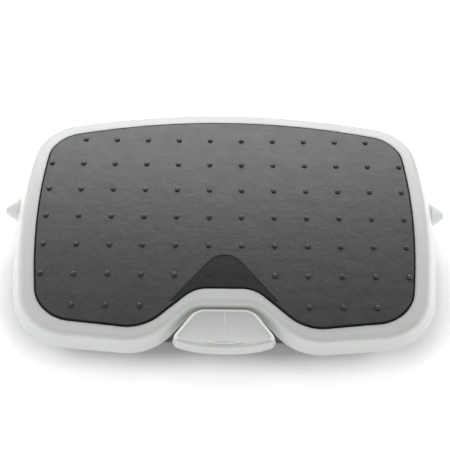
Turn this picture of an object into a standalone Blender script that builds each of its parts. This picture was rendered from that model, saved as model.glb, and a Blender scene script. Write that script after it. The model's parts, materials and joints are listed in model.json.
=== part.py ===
"""Under-desk footrest: a crowned platform that tilts on side axles and rises on a sprung lift frame.

Lengths are in metres, angles in radians. X runs to the right, Y to the back and Z up from the floor.
The platform is drawn flat, with its crown as height zero, then bent over its crown radius and tilted.
"""

import math

import bmesh
import bpy
from mathutils import Matrix, Vector

# Clearances
GAP = 0.0003
RUNNING_CLEARANCE = 0.00008
SLIDING_CLEARANCE = 0.0008
OVERRUN = 0.002
CUT_TOLERANCE = 0.000001

# Platform as a whole
CROWN_RADIUS = 1.457
CROWN_STRIPS = 9
REST_TILT = math.radians(11)
AXLE_HEIGHT = 0.06465
AXLE_BACK = 0.0344
AXLE_SETBACK = 0.035
AXLE_DROP = 0.045

# Tray outline, drawn flat
TRAY_BACK = 0.1886
TRAY_SIDE = 0.2854
TRAY_REAR_ROUND = 0.044
LOBE_OUTER_SIDE = 0.276
LOBE_OUTER_FRONT = 0.1724
LOBE_OUTER_ROUND = 0.0626
LOBE_INNER_SIDE = 0.104
LOBE_INNER_FRONT = 0.1875
LOBE_INNER_ROUND = 0.085
NOTCH_SIDE = 0.0447
NOTCH_FRONT = 0.1312
NOTCH_ROUND = 0.040
SIDE_BOW_RADIUS = 1.010
SIDE_BOW_FRONT = 0.0195
BACK_BOW_RADIUS = 1.145
OUTLINE_STEP = 0.045

# Tray section
TRAY_PLATE = 0.0035
TRAY_WALL = 0.003
TRAY_SKIRT = 0.025
TRAY_FLARE = 0.0088
TRAY_NOTCH_FLARE = 0.0035
TRAY_EDGE_ROUND = 0.006
TRAY_RIB_DEPTH = 0.0035
TRAY_RIB_THICKNESS = 0.002
TRAY_RIB_BACK = 0.165
TRAY_RIB_FRONT = 0.112
TRAY_RIB_SIDES = (0.045, 0.150)
LUG_THICKNESS = 0.012
LUG_ROUND = 0.012
LUG_HALF_ROOT = 0.024

# Mat, set into the tray
MAT_RECESS = 0.0012
MAT_PROUD = 0.0016
MAT_EDGE = 0.0007
MAT_CLEARANCE = 0.0011
RIM_BACK = 0.019
RIM_SIDE = 0.0213
RIM_LOBE_SIDE = 0.0228
RIM_LOBE_FRONT = 0.0219
RIM_FRONT = 0.0199
RIM_NOTCH = 0.0218
MAT_REAR_ROUND = 0.0346
MAT_OUTER_ROUND = 0.0514
MAT_INNER_SHIFT = 0.006
MAT_INNER_ROUND = 0.0713
MAT_NOTCH_SHIFT = 0.005
MAT_NOTCH_ROUND = 0.045
MAT_BACK_BOW_RADIUS = 0.980

# Nubs on the mat, on one square lattice
NUB_PITCH = 0.0446
NUB_FORWARD = 0.0012
NUB_MARGIN = 0.005
NUB_RADIUS = 0.0037
NUB_SHOULDER_RADIUS = 0.0028
NUB_SHOULDER = 0.0022
NUB_HEIGHT = 0.0031
NUB_SIDES = 8

# Smooth patch sunk into the mat above the notch
PATCH_PEAK_FRONT = 0.044
PATCH_SIDE = 0.072
PATCH_ROUND = 0.029
PATCH_DEPTH = 0.0006
PATCH_MARGIN = 0.0022

# Base shell
FOOT_HEIGHT = 0.003
BASE_TOP = 0.018
BASE_WALL = 0.003
BASE_EDGE_ROUND = 0.003
BASE_BACK = 0.150
BASE_SIDE = 0.225
BASE_FRONT = 0.1475
BASE_REAR_ROUND = 0.045
BASE_FRONT_ROUND = 0.035
TONGUE_SIDE = 0.034
TONGUE_REACH = 0.008
TONGUE_ROUND = 0.005
TONGUE_ROOT_ROUND = 0.002
BASE_RIB_THICKNESS = 0.0025

# Feet
FOOT_RADIUS = 0.014
FOOT_EDGE = 0.001
FOOT_BOSS_RADIUS = 0.0165
FOOT_SIDE = 0.196
FOOT_BACK = 0.122
FOOT_FRONT = 0.119
INNER_FOOT_SIDE = 0.060
INNER_FOOT_FRONT = 0.127

# Guide towers and pistons
TOWER_INSET = 0.040
TOWER_TOP = 0.062
TOWER_FLOOR = 0.003
TOWER_WALL = 0.003
TOWER_BOTTOM = 0.004
TOWER_FLANGE_RADIUS = 0.033
TOWER_FLANGE = 0.003
PISTON_RADIUS = 0.017
PISTON_WALL = 0.0025
PISTON_BOTTOM = 0.009
PISTON_CROWN = 0.003

# Springs
LIFT_SPRING_RADIUS = 0.011
LIFT_SPRING_WIRE = 0.0012
LIFT_SPRING_TURNS = 8
PEDAL_SPRING_RADIUS = 0.005
PEDAL_SPRING_WIRE = 0.0006
PEDAL_SPRING_TURNS = 6
SPRING_POINTS = 8
SPRING_END_GAP = 0.0006

# Lift frame
BEAM_SIDE = 0.190
BEAM_TOP = 0.089
BEAM_BOTTOM = 0.066
BEAM_WIDTH = 0.045
BEAM_WALL = 0.003
BLOCK_LENGTH = 0.045
BLOCK_WIDTH = 0.036
BLOCK_BOTTOM = 0.052
LOCK_ROD_RADIUS = 0.004
LOCK_ROD_BOTTOM = 0.007

# Tilt axles and what is threaded on them
AXLE_RADIUS = 0.005
AXLE_GRIP = 0.0194
AXLE_ROOT_INSET = 0.015
DISC_RADIUS = 0.014
DISC_THICKNESS = 0.003
BUSH_WALL = 0.0024
BUSH_FLANGE_RADIUS = 0.0105
BUSH_FLANGE = 0.0015
CLIP_RADIUS = 0.009
CLIP_THICKNESS = 0.0015
CAP_STANDOFF = 0.0264
CAP_RADIUS = 0.0175
CAP_LENGTH = 0.0305
CAP_SHARES = ((1, 0), (1, 0.36), (0.36, 0.90), (0.22, 0.98), (0, 1))

# Screws
SCREW_RADIUS = 0.002
SCREW_HEAD_RADIUS = 0.0038
SCREW_HEAD = 0.0022
SCREW_LENGTH = 0.010
SCREW_CLEARANCE = 0.0003
SCREW_SIDES = 8
TOWER_SCREWS = 3
BLOCK_SCREW_SPREAD = 0.010
BLOCK_SCREW_HEIGHT = 0.079

# Pedal: plan outline, section and hinge
PEDAL_BACK = 0.1372
PEDAL_BACK_SIDE = 0.0375
PEDAL_BACK_ROUND = 0.026
PEDAL_SIDE = 0.070
PEDAL_SIDE_FRONT = 0.1785
PEDAL_SIDE_ROUND = 0.007
PEDAL_NOSE_SIDE = 0.040
PEDAL_NOSE_FRONT = 0.1882
PEDAL_NOSE_ROUND = 0.150
PEDAL_FRONT = 0.190
PEDAL_BACK_HEIGHT = 0.063
PEDAL_SLOPE = 0.285
PEDAL_DEPTH = 0.012
PEDAL_PLATE = 0.0028
PEDAL_WALL = 0.0026
PEDAL_EDGE_ROUND = 0.0025
PEDAL_FLARE = 0.0022
HINGE_FRONT = 0.125
HINGE_HEIGHT = 0.012
PEDAL_PIN_RADIUS = 0.003
PEDAL_BARREL_RADIUS = 0.007
PEDAL_ARM_SIDE = 0.0245
PEDAL_ARM_THICKNESS = 0.005
PEDAL_ARM_RISE_FRONT = 0.1425
PEDAL_ARM_FRONT = 0.158
PEDAL_ARM_HEEL_FRONT = 0.146
PEDAL_ARM_HEEL = 0.009
PEDAL_ARM_TOE_FRONT = 0.149
PEDAL_ARM_TOE = 0.026
PEDAL_ARM_THROAT = 0.020
PEDAL_SPRING_FRONT = 0.148
RIDGE_SIDE = 0.0248
RIDGE_FRONT = 0.1826
RIDGE_ARCH = 0.0032
RIDGE_SAG = 0.0022
RIDGE_HEIGHT = 0.0014

# Well in the nose for the pedal's arms, and the cheeks that hold its pin
WELL_CLEARANCE = 0.003
WELL_BACK = 0.113
WELL_THROAT_FRONT = 0.137
WELL_FRONT = 0.1515
CHEEK_THICKNESS = 0.004
CHEEK_LENGTH = 0.018

# Lock linkage
ROD_RADIUS = 0.002
ROD_RISE = 0.011
ROD_EYE_RADIUS = 0.0035
ROD_EYE_HALF = 0.003
FORK_THICKNESS = 0.003
FORK_HALF_HEIGHT = 0.0032
LINK_PIN_RADIUS = 0.0015
LEVER_BACK = 0.010
LEVER_HEIGHT = 0.044
LEVER_BARREL_RADIUS = 0.005
LEVER_BARREL_HALF = 0.010
LEVER_PLATE = 0.003
LEVER_PLATE_HALF = 0.010
LEVER_PLATE_START = 0.003
LEVER_PLATE_REACH = 0.042
LEVER_PLATE_RISE = 0.0025
LEVER_WEB_HALF = 0.0015
LEVER_WEB_REACH = 0.015
LEVER_FOOT_RADIUS = 0.0033
LEVER_GRIP_CLEARANCE = 0.0009
LOCK_PIN_RADIUS = 0.0025
BRACKET_CHEEK = 0.002
BRACKET_CLEARANCE = 0.001
BRACKET_HALF_LENGTH = 0.010
BRACKET_FOOT = 0.002
BRACKET_FOOT_SIDE = 0.030
BRACKET_HEAD_ROOM = 0.007
BRACKET_SCREW_SIDE = 0.022

# The two sides
SIDES = ((-1, "left"), (1, "right"))

# Facets
ARC_STEPS = 6
TRAY_EDGE_STEPS = 3
BASE_EDGE_STEPS = 2
PEDAL_EDGE_STEPS = 3
LARGE_SIDES = 24
MEDIUM_SIDES = 16
SMALL_SIDES = 12


# Helpers for outlines

def rounded_half(corners):
    """One half of an outline, from the middle line round to it again; a corner is (x, y, radius)."""
    points = [Vector(corners[0][:2])]
    for before, here, after in zip(corners[:-2], corners[1:-1], corners[2:]):
        corner, radius = Vector(here[:2]), here[2]
        back = (Vector(before[:2]) - corner).normalized()
        ahead = (Vector(after[:2]) - corner).normalized()
        half_angle = back.angle(ahead) / 2
        centre = corner + (back + ahead).normalized() * radius / math.sin(half_angle)
        start = corner + back * radius / math.tan(half_angle) - centre
        end = corner + ahead * radius / math.tan(half_angle) - centre
        sweep = start.angle_signed(end)
        for step in range(ARC_STEPS + 1):
            turn = Matrix.Rotation(-sweep * step / ARC_STEPS, 2)
            points.append(centre + turn @ start)
    points.append(Vector(corners[-1][:2]))
    return points


def mirrored(half):
    """The whole outline from its right half, anticlockwise seen from above."""
    whole = half + [Vector((-p.x, p.y)) for p in reversed(half[1:-1])]
    area = sum(a.x * b.y - b.x * a.y for a, b in zip(whole, whole[1:] + whole[:1]))
    return whole if area > 0 else whole[::-1]


def stepped(points, longest):
    """The same closed outline with its long edges divided."""
    result = []
    for a, b in zip(points, points[1:] + points[:1]):
        parts = max(1, math.ceil((b - a).length / longest))
        result += [a.lerp(b, i / parts) for i in range(parts)]
    return result


def inset(points, distance):
    """A closed anticlockwise outline moved inward."""
    result = []
    for before, here, after in zip(points[-1:] + points[:-1], points, points[1:] + points[:1]):
        first = (here - before).normalized()
        second = (after - here).normalized()
        normal = Vector((-first.y - second.y, first.x + second.x))
        result.append(here + normal * distance / (1 + first.dot(second)))
    return result


def bowed(points, back_radius):
    """Gives the straight sides and back of a flat outline the long arcs of the platform."""
    result = []
    for p in points:
        side = 1 - (p.y + SIDE_BOW_FRONT) ** 2 / (2 * SIDE_BOW_RADIUS * LOBE_OUTER_SIDE)
        share = max(0, (p.y + LOBE_INNER_FRONT) / (TRAY_BACK + LOBE_INNER_FRONT))
        result.append(Vector((p.x * side, p.y - p.x ** 2 / (2 * back_radius) * share)))
    return result


def circle(radius, sides, centre=(0, 0), turn=0):
    """Points of a round outline, anticlockwise."""
    angles = (turn + 2 * math.pi * i / sides for i in range(sides))
    return [Vector((centre[0] + radius * math.cos(a), centre[1] + radius * math.sin(a))) for a in angles]


def bore(radius, clearance, sides):
    """Corner radius of a faceted hole whose flats clear a round of the given radius."""
    return (radius + clearance) / math.cos(math.pi / sides)


# Helpers for solids

def loft(rings):
    """A closed body through rings of equal length, with flat ends."""
    bm = bmesh.new()
    loops = [[bm.verts.new(p) for p in ring] for ring in rings]
    for low, high in zip(loops, loops[1:]):
        for i in range(len(low)):
            bm.faces.new((low[i - 1], low[i], high[i], high[i - 1]))
    bm.faces.new(loops[0][::-1])
    bm.faces.new(loops[-1])
    bmesh.ops.recalc_face_normals(bm, faces=bm.faces)
    return bm


def prism(points, low, high):
    """An outline raised from one height to another."""
    return loft([[(p.x, p.y, z) for p in points] for z in (low, high)])


def cross_prism(points, left, right):
    """An outline of (y, z) points stretched along X."""
    return loft([[(x, p.x, p.y) for p in points] for x in (left, right)])


def box(low, high):
    """A box between two corners."""
    corners = [(low[0], low[1]), (high[0], low[1]), (high[0], high[1]), (low[0], high[1])]
    return prism([Vector(corner) for corner in corners], low[2], high[2])


def cylinder(radius, low, high, sides, centre=(0, 0)):
    """An upright cylinder."""
    return prism(circle(radius, sides, centre), low, high)


def cross_cylinder(radius, left, right, sides, centre):
    """A cylinder along X; its centre is (y, z)."""
    return cross_prism(circle(radius, sides, centre), left, right)


def turned(profile, sides):
    """A body turned about Z from a closed profile of (radius, z) points."""
    bm = bmesh.new()
    loops = []
    for radius, z in profile:
        if radius:
            loops.append([bm.verts.new((p.x, p.y, z)) for p in circle(radius, sides)])
        else:
            loops.append([bm.verts.new((0, 0, z))] * sides)
    for low, high in zip(loops, loops[1:] + loops[:1]):
        for i in range(sides):
            corners = list(dict.fromkeys((low[i - 1], low[i], high[i], high[i - 1])))
            if len(corners) > 2:
                bm.faces.new(corners)
    bmesh.ops.recalc_face_normals(bm, faces=bm.faces)
    return bm


def moved(bm, matrix):
    """The same body placed by a matrix."""
    bmesh.ops.transform(bm, matrix=matrix, verts=bm.verts)
    return bm


def along_x(bm, x, y, z, outward=1):
    """A body turned about Z laid along X, its base at (x, y, z) and its length pointing outward."""
    turn = Matrix.Rotation(outward * math.pi / 2, 4, "Y")
    return moved(bm, Matrix.Translation((x, y, z)) @ turn)


def together(bodies):
    """Several separate bodies in one mesh."""
    whole = bmesh.new()
    for body in bodies:
        mesh = bpy.data.meshes.new("work")
        body.to_mesh(mesh)
        body.free()
        whole.from_mesh(mesh)
        bpy.data.meshes.remove(mesh)
    return whole


def boolean(body, tool, operation):
    """Body joined with, cut by or kept inside tool."""
    pair = []
    for bm in (body, tool):
        mesh = bpy.data.meshes.new("work")
        bm.to_mesh(mesh)
        bm.free()
        pair.append(bpy.data.objects.new("work", mesh))
        bpy.context.scene.collection.objects.link(pair[-1])
    modifier = pair[0].modifiers.new("boolean", "BOOLEAN")
    modifier.operation = operation
    modifier.object = pair[1]
    evaluated = pair[0].evaluated_get(bpy.context.evaluated_depsgraph_get())
    result = bmesh.new()
    result.from_mesh(evaluated.to_mesh())
    evaluated.to_mesh_clear()
    for obj in pair:
        mesh = obj.data
        bpy.data.objects.remove(obj)
        bpy.data.meshes.remove(mesh)
    return result


def joined(body, *tools):
    for tool in tools:
        body = boolean(body, tool, "UNION")
    return body


def cut(body, *tools):
    for tool in tools:
        body = boolean(body, tool, "DIFFERENCE")
    return body


# Helpers for the scene

MATERIALS = {}


def material(name, colour, roughness, metallic=0.0):
    """One Principled material for each finish."""
    if name not in MATERIALS:
        made = bpy.data.materials.new(name)
        made.use_nodes = True
        shader = made.node_tree.nodes["Principled BSDF"]
        shader.inputs["Base Color"].default_value = (*colour, 1)
        shader.inputs["Roughness"].default_value = roughness
        shader.inputs["Metallic"].default_value = metallic
        made.diffuse_color = (*colour, 1)
        MATERIALS[name] = made
    return MATERIALS[name]


def grey_plastic():
    return material("grey_plastic", (0.62, 0.64, 0.61), 0.42)


def charcoal_plastic():
    return material("charcoal_plastic", (0.11, 0.115, 0.11), 0.5)


def black_plastic():
    return material("black_plastic", (0.045, 0.045, 0.05), 0.5)


def white_nylon():
    return material("white_nylon", (0.78, 0.77, 0.72), 0.4)


def mat_rubber():
    return material("mat_rubber", (0.085, 0.085, 0.09), 0.62)


def foot_rubber():
    return material("foot_rubber", (0.02, 0.02, 0.02), 0.8)


def steel():
    return material("steel", (0.58, 0.58, 0.6), 0.32, 1.0)


def zinc_steel():
    return material("zinc_steel", (0.66, 0.66, 0.62), 0.4, 1.0)


def empty(name, place, parent, tilt=0.0):
    """A guide that carries the pieces of one moving body."""
    obj = bpy.data.objects.new(name, None)
    bpy.context.scene.collection.objects.link(obj)
    obj.parent = parent
    obj.location = place
    obj.rotation_euler.x = tilt
    return obj


def piece(name, bm, finish, parent):
    """A named sub-part, whose mesh is drawn in its parent's frame."""
    mesh = bpy.data.meshes.new(name)
    bm.to_mesh(mesh)
    bm.free()
    mesh.materials.append(finish)
    mesh.shade_smooth()
    mesh.set_sharp_from_angle(angle=math.radians(35))
    obj = bpy.data.objects.new(name, mesh)
    bpy.context.scene.collection.objects.link(obj)
    obj.parent = parent
    return obj


# Platform

def platform_rows():
    """The crown strips' edges, front to back."""
    front = -LOBE_INNER_FRONT
    return [front + (TRAY_BACK - front) * i / CROWN_STRIPS for i in range(1, CROWN_STRIPS)]


def crowned(bm):
    """A flat platform body cut into strips and bent over the crown, about the tilt axle."""
    for y in platform_rows():
        everything = bm.verts[:] + bm.edges[:] + bm.faces[:]
        bmesh.ops.bisect_plane(
            bm, geom=everything, dist=CUT_TOLERANCE, plane_co=(0, y, 0), plane_no=(0, 1, 0)
        )
    for vertex in bm.verts:
        vertex.co = crown_point(vertex.co)
    return bm


def crown_point(flat):
    """A point of the flat platform, seen from the tilt axle."""
    angle = flat.y / CROWN_RADIUS
    reach = CROWN_RADIUS + flat.z
    back = reach * math.sin(angle) - AXLE_SETBACK
    return Vector((flat.x, back, reach * math.cos(angle) - CROWN_RADIUS + AXLE_DROP))


def tray_outline():
    half = rounded_half((
        (0, TRAY_BACK, 0),
        (TRAY_SIDE, TRAY_BACK, TRAY_REAR_ROUND),
        (LOBE_OUTER_SIDE, -LOBE_OUTER_FRONT, LOBE_OUTER_ROUND),
        (LOBE_INNER_SIDE, -LOBE_INNER_FRONT, LOBE_INNER_ROUND),
        (NOTCH_SIDE, -NOTCH_FRONT, NOTCH_ROUND),
        (0, -NOTCH_FRONT, 0),
    ))
    return bowed(stepped(mirrored(half), OUTLINE_STEP), BACK_BOW_RADIUS)


def mat_outline():
    half = rounded_half((
        (0, TRAY_BACK - RIM_BACK, 0),
        (TRAY_SIDE - RIM_SIDE, TRAY_BACK - RIM_BACK, MAT_REAR_ROUND),
        (LOBE_OUTER_SIDE - RIM_LOBE_SIDE, RIM_LOBE_FRONT - LOBE_OUTER_FRONT, MAT_OUTER_ROUND),
        (LOBE_INNER_SIDE + MAT_INNER_SHIFT, RIM_FRONT - LOBE_INNER_FRONT, MAT_INNER_ROUND),
        (NOTCH_SIDE - MAT_NOTCH_SHIFT, RIM_NOTCH - NOTCH_FRONT, MAT_NOTCH_ROUND),
        (0, RIM_NOTCH - NOTCH_FRONT, 0),
    ))
    return bowed(stepped(mirrored(half), OUTLINE_STEP), MAT_BACK_BOW_RADIUS)


def ring(points, distance, height):
    return [(p.x, p.y, height) for p in inset(points, distance)]


def skirt_ring(points, thickness, depth):
    """A ring of the flared skirt, whose flare is smaller in the notch than round the rest."""
    deep_share = (depth - TRAY_EDGE_ROUND) / (TRAY_SKIRT - TRAY_EDGE_ROUND)
    straight, unit = inset(points, thickness), inset(points, GAP)
    result = []
    for p, level, moved_in in zip(points, straight, unit):
        flare = (TRAY_FLARE - (TRAY_FLARE - TRAY_NOTCH_FLARE) * notch_share(p)) * deep_share
        result.append((*(level + (p - moved_in) * flare / GAP), -depth))
    return result


def notch_share(point):
    """One at the notch's middle and nothing from the lobes outward."""
    if point.y > 0:
        return 0
    half = NOTCH_SIDE / 2
    share = min(1, max(0, (LOBE_INNER_SIDE - abs(point.x)) / (LOBE_INNER_SIDE - half)))
    return share * share * (3 - 2 * share)


def edge_rings(points, top, radius, steps):
    """Rings that round an upper edge over, from the wall to the top face."""
    rings = []
    for step in range(steps + 1):
        angle = math.pi / 2 * step / steps
        rings.append(ring(points, radius * (1 - math.cos(angle)), top - radius * (1 - math.sin(angle))))
    return rings


def tray_lug(side):
    """The ear under the plate that hangs on an axle; seen from the axle."""
    root = AXLE_DROP - TRAY_PLATE
    points = [Vector((LUG_HALF_ROOT, root)), Vector((-LUG_HALF_ROOT, root))]
    for step in range(2 * ARC_STEPS + 1):
        angle = math.pi + math.pi * step / (2 * ARC_STEPS)
        points.append(Vector((LUG_ROUND * math.cos(angle), LUG_ROUND * math.sin(angle))))
    low, high = sorted((side * lug_inner_side(), side * lug_outer_side()))
    return cross_prism(points, low, high)


def tray_rib(x):
    half = TRAY_RIB_THICKNESS / 2
    low = -TRAY_PLATE - TRAY_RIB_DEPTH
    return box((x - half, -TRAY_RIB_FRONT, low), (x + half, TRAY_RIB_BACK, -TRAY_PLATE / 2))


def bush_radius():
    return AXLE_RADIUS + RUNNING_CLEARANCE + BUSH_WALL


def build_tray(parent):
    outline = tray_outline()
    rounding = edge_rings(outline, 0, TRAY_EDGE_ROUND, TRAY_EDGE_STEPS)
    shell = loft([skirt_ring(outline, 0, TRAY_SKIRT)] + rounding)
    hollow = loft([
        skirt_ring(outline, TRAY_WALL, TRAY_SKIRT + OVERRUN),
        skirt_ring(outline, TRAY_WALL, TRAY_PLATE + TRAY_WALL),
        ring(outline, 2 * TRAY_WALL, -TRAY_PLATE),
    ])
    recess = prism(mat_outline(), -MAT_RECESS, OVERRUN)
    ribs = [tray_rib(side * x) for x in TRAY_RIB_SIDES for side in (-1, 1)]
    body = crowned(joined(cut(shell, hollow, recess), together(ribs)))
    body = joined(body, together([tray_lug(side) for side in (-1, 1)]))
    hole = bore(bush_radius(), GAP, MEDIUM_SIDES)
    for side in (-1, 1):
        left, right = sorted((side * (lug_inner_side() - OVERRUN), side * (lug_outer_side() + OVERRUN)))
        body = cut(body, cross_cylinder(hole, left, right, MEDIUM_SIDES, (0, 0)))
    return piece("tray", body, grey_plastic(), parent)


def nub(x, y):
    """A low dome that reaches down into the mat."""
    profile = (
        (0, MAT_PROUD - MAT_EDGE),
        (NUB_RADIUS, MAT_PROUD - MAT_EDGE),
        (NUB_RADIUS, MAT_PROUD),
        (NUB_SHOULDER_RADIUS, MAT_PROUD + NUB_SHOULDER),
        (0, MAT_PROUD + NUB_HEIGHT),
    )
    return moved(turned(profile, NUB_SIDES), Matrix.Translation((x, y, 0)))


def patch_outline():
    """An arch with straight flanks, from its rounded peak down past the mat's notch edge."""
    slope = (NOTCH_FRONT - RIM_NOTCH - PATCH_PEAK_FRONT) / (NOTCH_SIDE + RIM_NOTCH / 2)
    foot = PATCH_PEAK_FRONT + slope * PATCH_SIDE
    whole = [(-PATCH_SIDE, -foot, 0), (0, -PATCH_PEAK_FRONT, PATCH_ROUND), (PATCH_SIDE, -foot, 0)]
    return rounded_half(whole)


def within(x, y, outline):
    """Whether a flat place lies inside an outline."""
    inside = False
    for a, b in zip(outline, outline[1:] + outline[:1]):
        if (a.y > y) != (b.y > y) and x < a.x + (y - a.y) / (b.y - a.y) * (b.x - a.x):
            inside = not inside
    return inside


def nub_places():
    """The lattice places, as (x, y), that lie on the mat and off its smooth patch."""
    room = inset(mat_outline(), NUB_MARGIN)
    smooth = patch_outline()
    columns = math.ceil(TRAY_SIDE / NUB_PITCH)
    rows = math.ceil(TRAY_BACK / NUB_PITCH)
    for row in range(-rows, rows + 1):
        for column in range(-columns, columns):
            x = (column + 1 / 2) * NUB_PITCH
            y = row * NUB_PITCH - NUB_FORWARD
            if within(x, y, room) and not within(x, y, smooth):
                yield x, y


def build_mat(parent):
    outline = inset(mat_outline(), MAT_CLEARANCE)
    bottom = GAP - MAT_RECESS
    body = loft([
        ring(outline, 0, bottom),
        ring(outline, 0, MAT_PROUD - MAT_EDGE),
        ring(outline, MAT_EDGE, MAT_PROUD),
    ])
    body = joined(body, together([nub(x, y) for x, y in nub_places()]))
    patch = boolean(
        prism(patch_outline(), MAT_PROUD - PATCH_DEPTH, MAT_PROUD + OVERRUN),
        prism(inset(mat_outline(), PATCH_MARGIN), MAT_PROUD - OVERRUN, MAT_PROUD + OVERRUN / 2),
        "INTERSECT",
    )
    return piece("mat", crowned(cut(body, patch)), mat_rubber(), parent)


# Base

def base_outline():
    return stepped(mirrored(rounded_half((
        (0, BASE_BACK, 0),
        (BASE_SIDE, BASE_BACK, BASE_REAR_ROUND),
        (BASE_SIDE, -BASE_FRONT, BASE_FRONT_ROUND),
        (TONGUE_SIDE, -BASE_FRONT, TONGUE_ROOT_ROUND),
        (TONGUE_SIDE, -BASE_FRONT - TONGUE_REACH, TONGUE_ROUND),
        (0, -BASE_FRONT - TONGUE_REACH, 0),
    ))), BASE_SIDE)


def foot_places():
    """Node names of the feet, with their places."""
    for side, word in SIDES:
        yield "foot_rear_" + word, (side * FOOT_SIDE, FOOT_BACK)
        yield "foot_front_" + word, (side * FOOT_SIDE, -FOOT_FRONT)
        yield "foot_inner_" + word, (side * INNER_FOOT_SIDE, -INNER_FOOT_FRONT)


def tower_radius():
    return PISTON_RADIUS + SLIDING_CLEARANCE + TOWER_WALL


def tower_places():
    for side, word in SIDES:
        yield word, Vector((side * (BEAM_SIDE - TOWER_INSET), AXLE_BACK))


def tower_screw_places():
    """Node names and places of the screws in the middle of each flange's free ring."""
    circle_radius = (tower_radius() + TOWER_FLANGE_RADIUS) / 2
    for word, middle in tower_places():
        for number, place in enumerate(circle(circle_radius, TOWER_SCREWS, middle, math.pi / 2), 1):
            yield f"tower_screw_{word}_{number}", place


def bracket_screw_places():
    for side, word in SIDES:
        yield "lock_screw_" + word, Vector((side * BRACKET_SCREW_SIDE, LEVER_BACK))


def pedal_well():
    """The opening in the nose: a throat for the barrel and two slots for the arms."""
    reach = PEDAL_ARM_SIDE + PEDAL_ARM_THICKNESS / 2 + WELL_CLEARANCE
    inner = PEDAL_ARM_SIDE - PEDAL_ARM_THICKNESS / 2 - WELL_CLEARANCE
    points = [
        (reach, -WELL_BACK), (-reach, -WELL_BACK), (-reach, -WELL_FRONT), (-inner, -WELL_FRONT),
        (-inner, -WELL_THROAT_FRONT), (inner, -WELL_THROAT_FRONT), (inner, -WELL_FRONT), (reach, -WELL_FRONT),
    ]
    top = BASE_TOP + OVERRUN
    return prism([Vector(p) for p in points], BASE_TOP - BASE_WALL - OVERRUN, top)


def cheek_inner_side():
    return PEDAL_ARM_SIDE + PEDAL_ARM_THICKNESS / 2 + WELL_CLEARANCE + CHEEK_THICKNESS / 2


def build_base_shell(parent):
    outline = base_outline()
    plate_bottom = BASE_TOP - BASE_WALL
    root = BASE_TOP - BASE_WALL / 2
    rounding = edge_rings(outline, BASE_TOP, BASE_EDGE_ROUND, BASE_EDGE_STEPS)
    shell = cut(loft([ring(outline, 0, FOOT_HEIGHT)] + rounding), loft([
        ring(outline, BASE_WALL, FOOT_HEIGHT - OVERRUN),
        ring(outline, BASE_WALL, plate_bottom),
    ]))
    bosses = [
        cylinder(FOOT_BOSS_RADIUS, FOOT_HEIGHT + GAP, root, MEDIUM_SIDES, place) for _, place in foot_places()
    ]
    half_rib = BASE_RIB_THICKNESS / 2
    ribs = []
    for x, front in ((FOOT_SIDE, FOOT_FRONT), (INNER_FOOT_SIDE, INNER_FOOT_FRONT)):
        for side in (-1, 1):
            low = (side * x - half_rib, -front, FOOT_HEIGHT + GAP)
            ribs.append(box(low, (side * x + half_rib, FOOT_BACK, root)))
    inner = cheek_inner_side()
    cheeks = []
    for side in (-1, 1):
        left, right = sorted((side * inner, side * (inner + CHEEK_THICKNESS)))
        cheeks.append(box(
            (left, -HINGE_FRONT - CHEEK_LENGTH / 2, FOOT_HEIGHT + GAP),
            (right, CHEEK_LENGTH / 2 - HINGE_FRONT, root),
        ))
    shell = joined(shell, together(cheeks))
    for rib in ribs:
        shell = joined(shell, rib)
    for boss in bosses:
        shell = joined(shell, boss)
    holes = [
        cylinder(
            bore(tower_radius(), GAP, LARGE_SIDES), FOOT_HEIGHT, BASE_TOP + OVERRUN, LARGE_SIDES, middle
        )
        for _, middle in tower_places()
    ]
    screw_hole = bore(SCREW_RADIUS, SCREW_CLEARANCE, SCREW_SIDES)
    for _, place in [*tower_screw_places(), *bracket_screw_places()]:
        holes.append(cylinder(screw_hole, plate_bottom - OVERRUN, BASE_TOP + OVERRUN, SCREW_SIDES, place))
    rod_hole = LOCK_ROD_RADIUS + SLIDING_CLEARANCE + TOWER_WALL / 2
    holes.append(cylinder(rod_hole, plate_bottom - OVERRUN, BASE_TOP + OVERRUN, SMALL_SIDES, (0, AXLE_BACK)))
    reach = inner + 2 * CHEEK_THICKNESS
    pin_hole = bore(PEDAL_PIN_RADIUS, GAP, SMALL_SIDES)
    pin_tool = cross_cylinder(pin_hole, -reach, reach, SMALL_SIDES, (-HINGE_FRONT, HINGE_HEIGHT))
    shell = cut(shell, together(holes), pedal_well(), pin_tool)
    return piece("base_shell", shell, charcoal_plastic(), parent)


def build_feet(parent):
    for name, (x, y) in foot_places():
        body = turned((
            (0, 0), (FOOT_RADIUS - FOOT_EDGE, 0), (FOOT_RADIUS, FOOT_EDGE),
            (FOOT_RADIUS, FOOT_HEIGHT), (0, FOOT_HEIGHT),
        ), MEDIUM_SIDES)
        piece(name, moved(body, Matrix.Translation((x, y, 0))), foot_rubber(), parent)


def build_towers(parent):
    outer, inner = tower_radius(), PISTON_RADIUS + SLIDING_CLEARANCE
    flange_low = BASE_TOP + GAP
    flange_high = flange_low + TOWER_FLANGE
    screw_hole = bore(SCREW_RADIUS, SCREW_CLEARANCE, SCREW_SIDES)
    for word, middle in tower_places():
        body = turned((
            (0, TOWER_BOTTOM), (outer, TOWER_BOTTOM), (outer, flange_low), (TOWER_FLANGE_RADIUS, flange_low),
            (TOWER_FLANGE_RADIUS, flange_high), (outer, flange_high), (outer, TOWER_TOP), (inner, TOWER_TOP),
            (inner, TOWER_BOTTOM + TOWER_FLOOR), (0, TOWER_BOTTOM + TOWER_FLOOR),
        ), LARGE_SIDES)
        holes = [
            cylinder(screw_hole, BASE_TOP, flange_high + OVERRUN, SCREW_SIDES, place)
            for place in circle((outer + TOWER_FLANGE_RADIUS) / 2, TOWER_SCREWS, (0, 0), math.pi / 2)
        ]
        body = cut(body, together(holes))
        piece("guide_tower_" + word, moved(body, Matrix.Translation((*middle, 0))), black_plastic(), parent)


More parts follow.
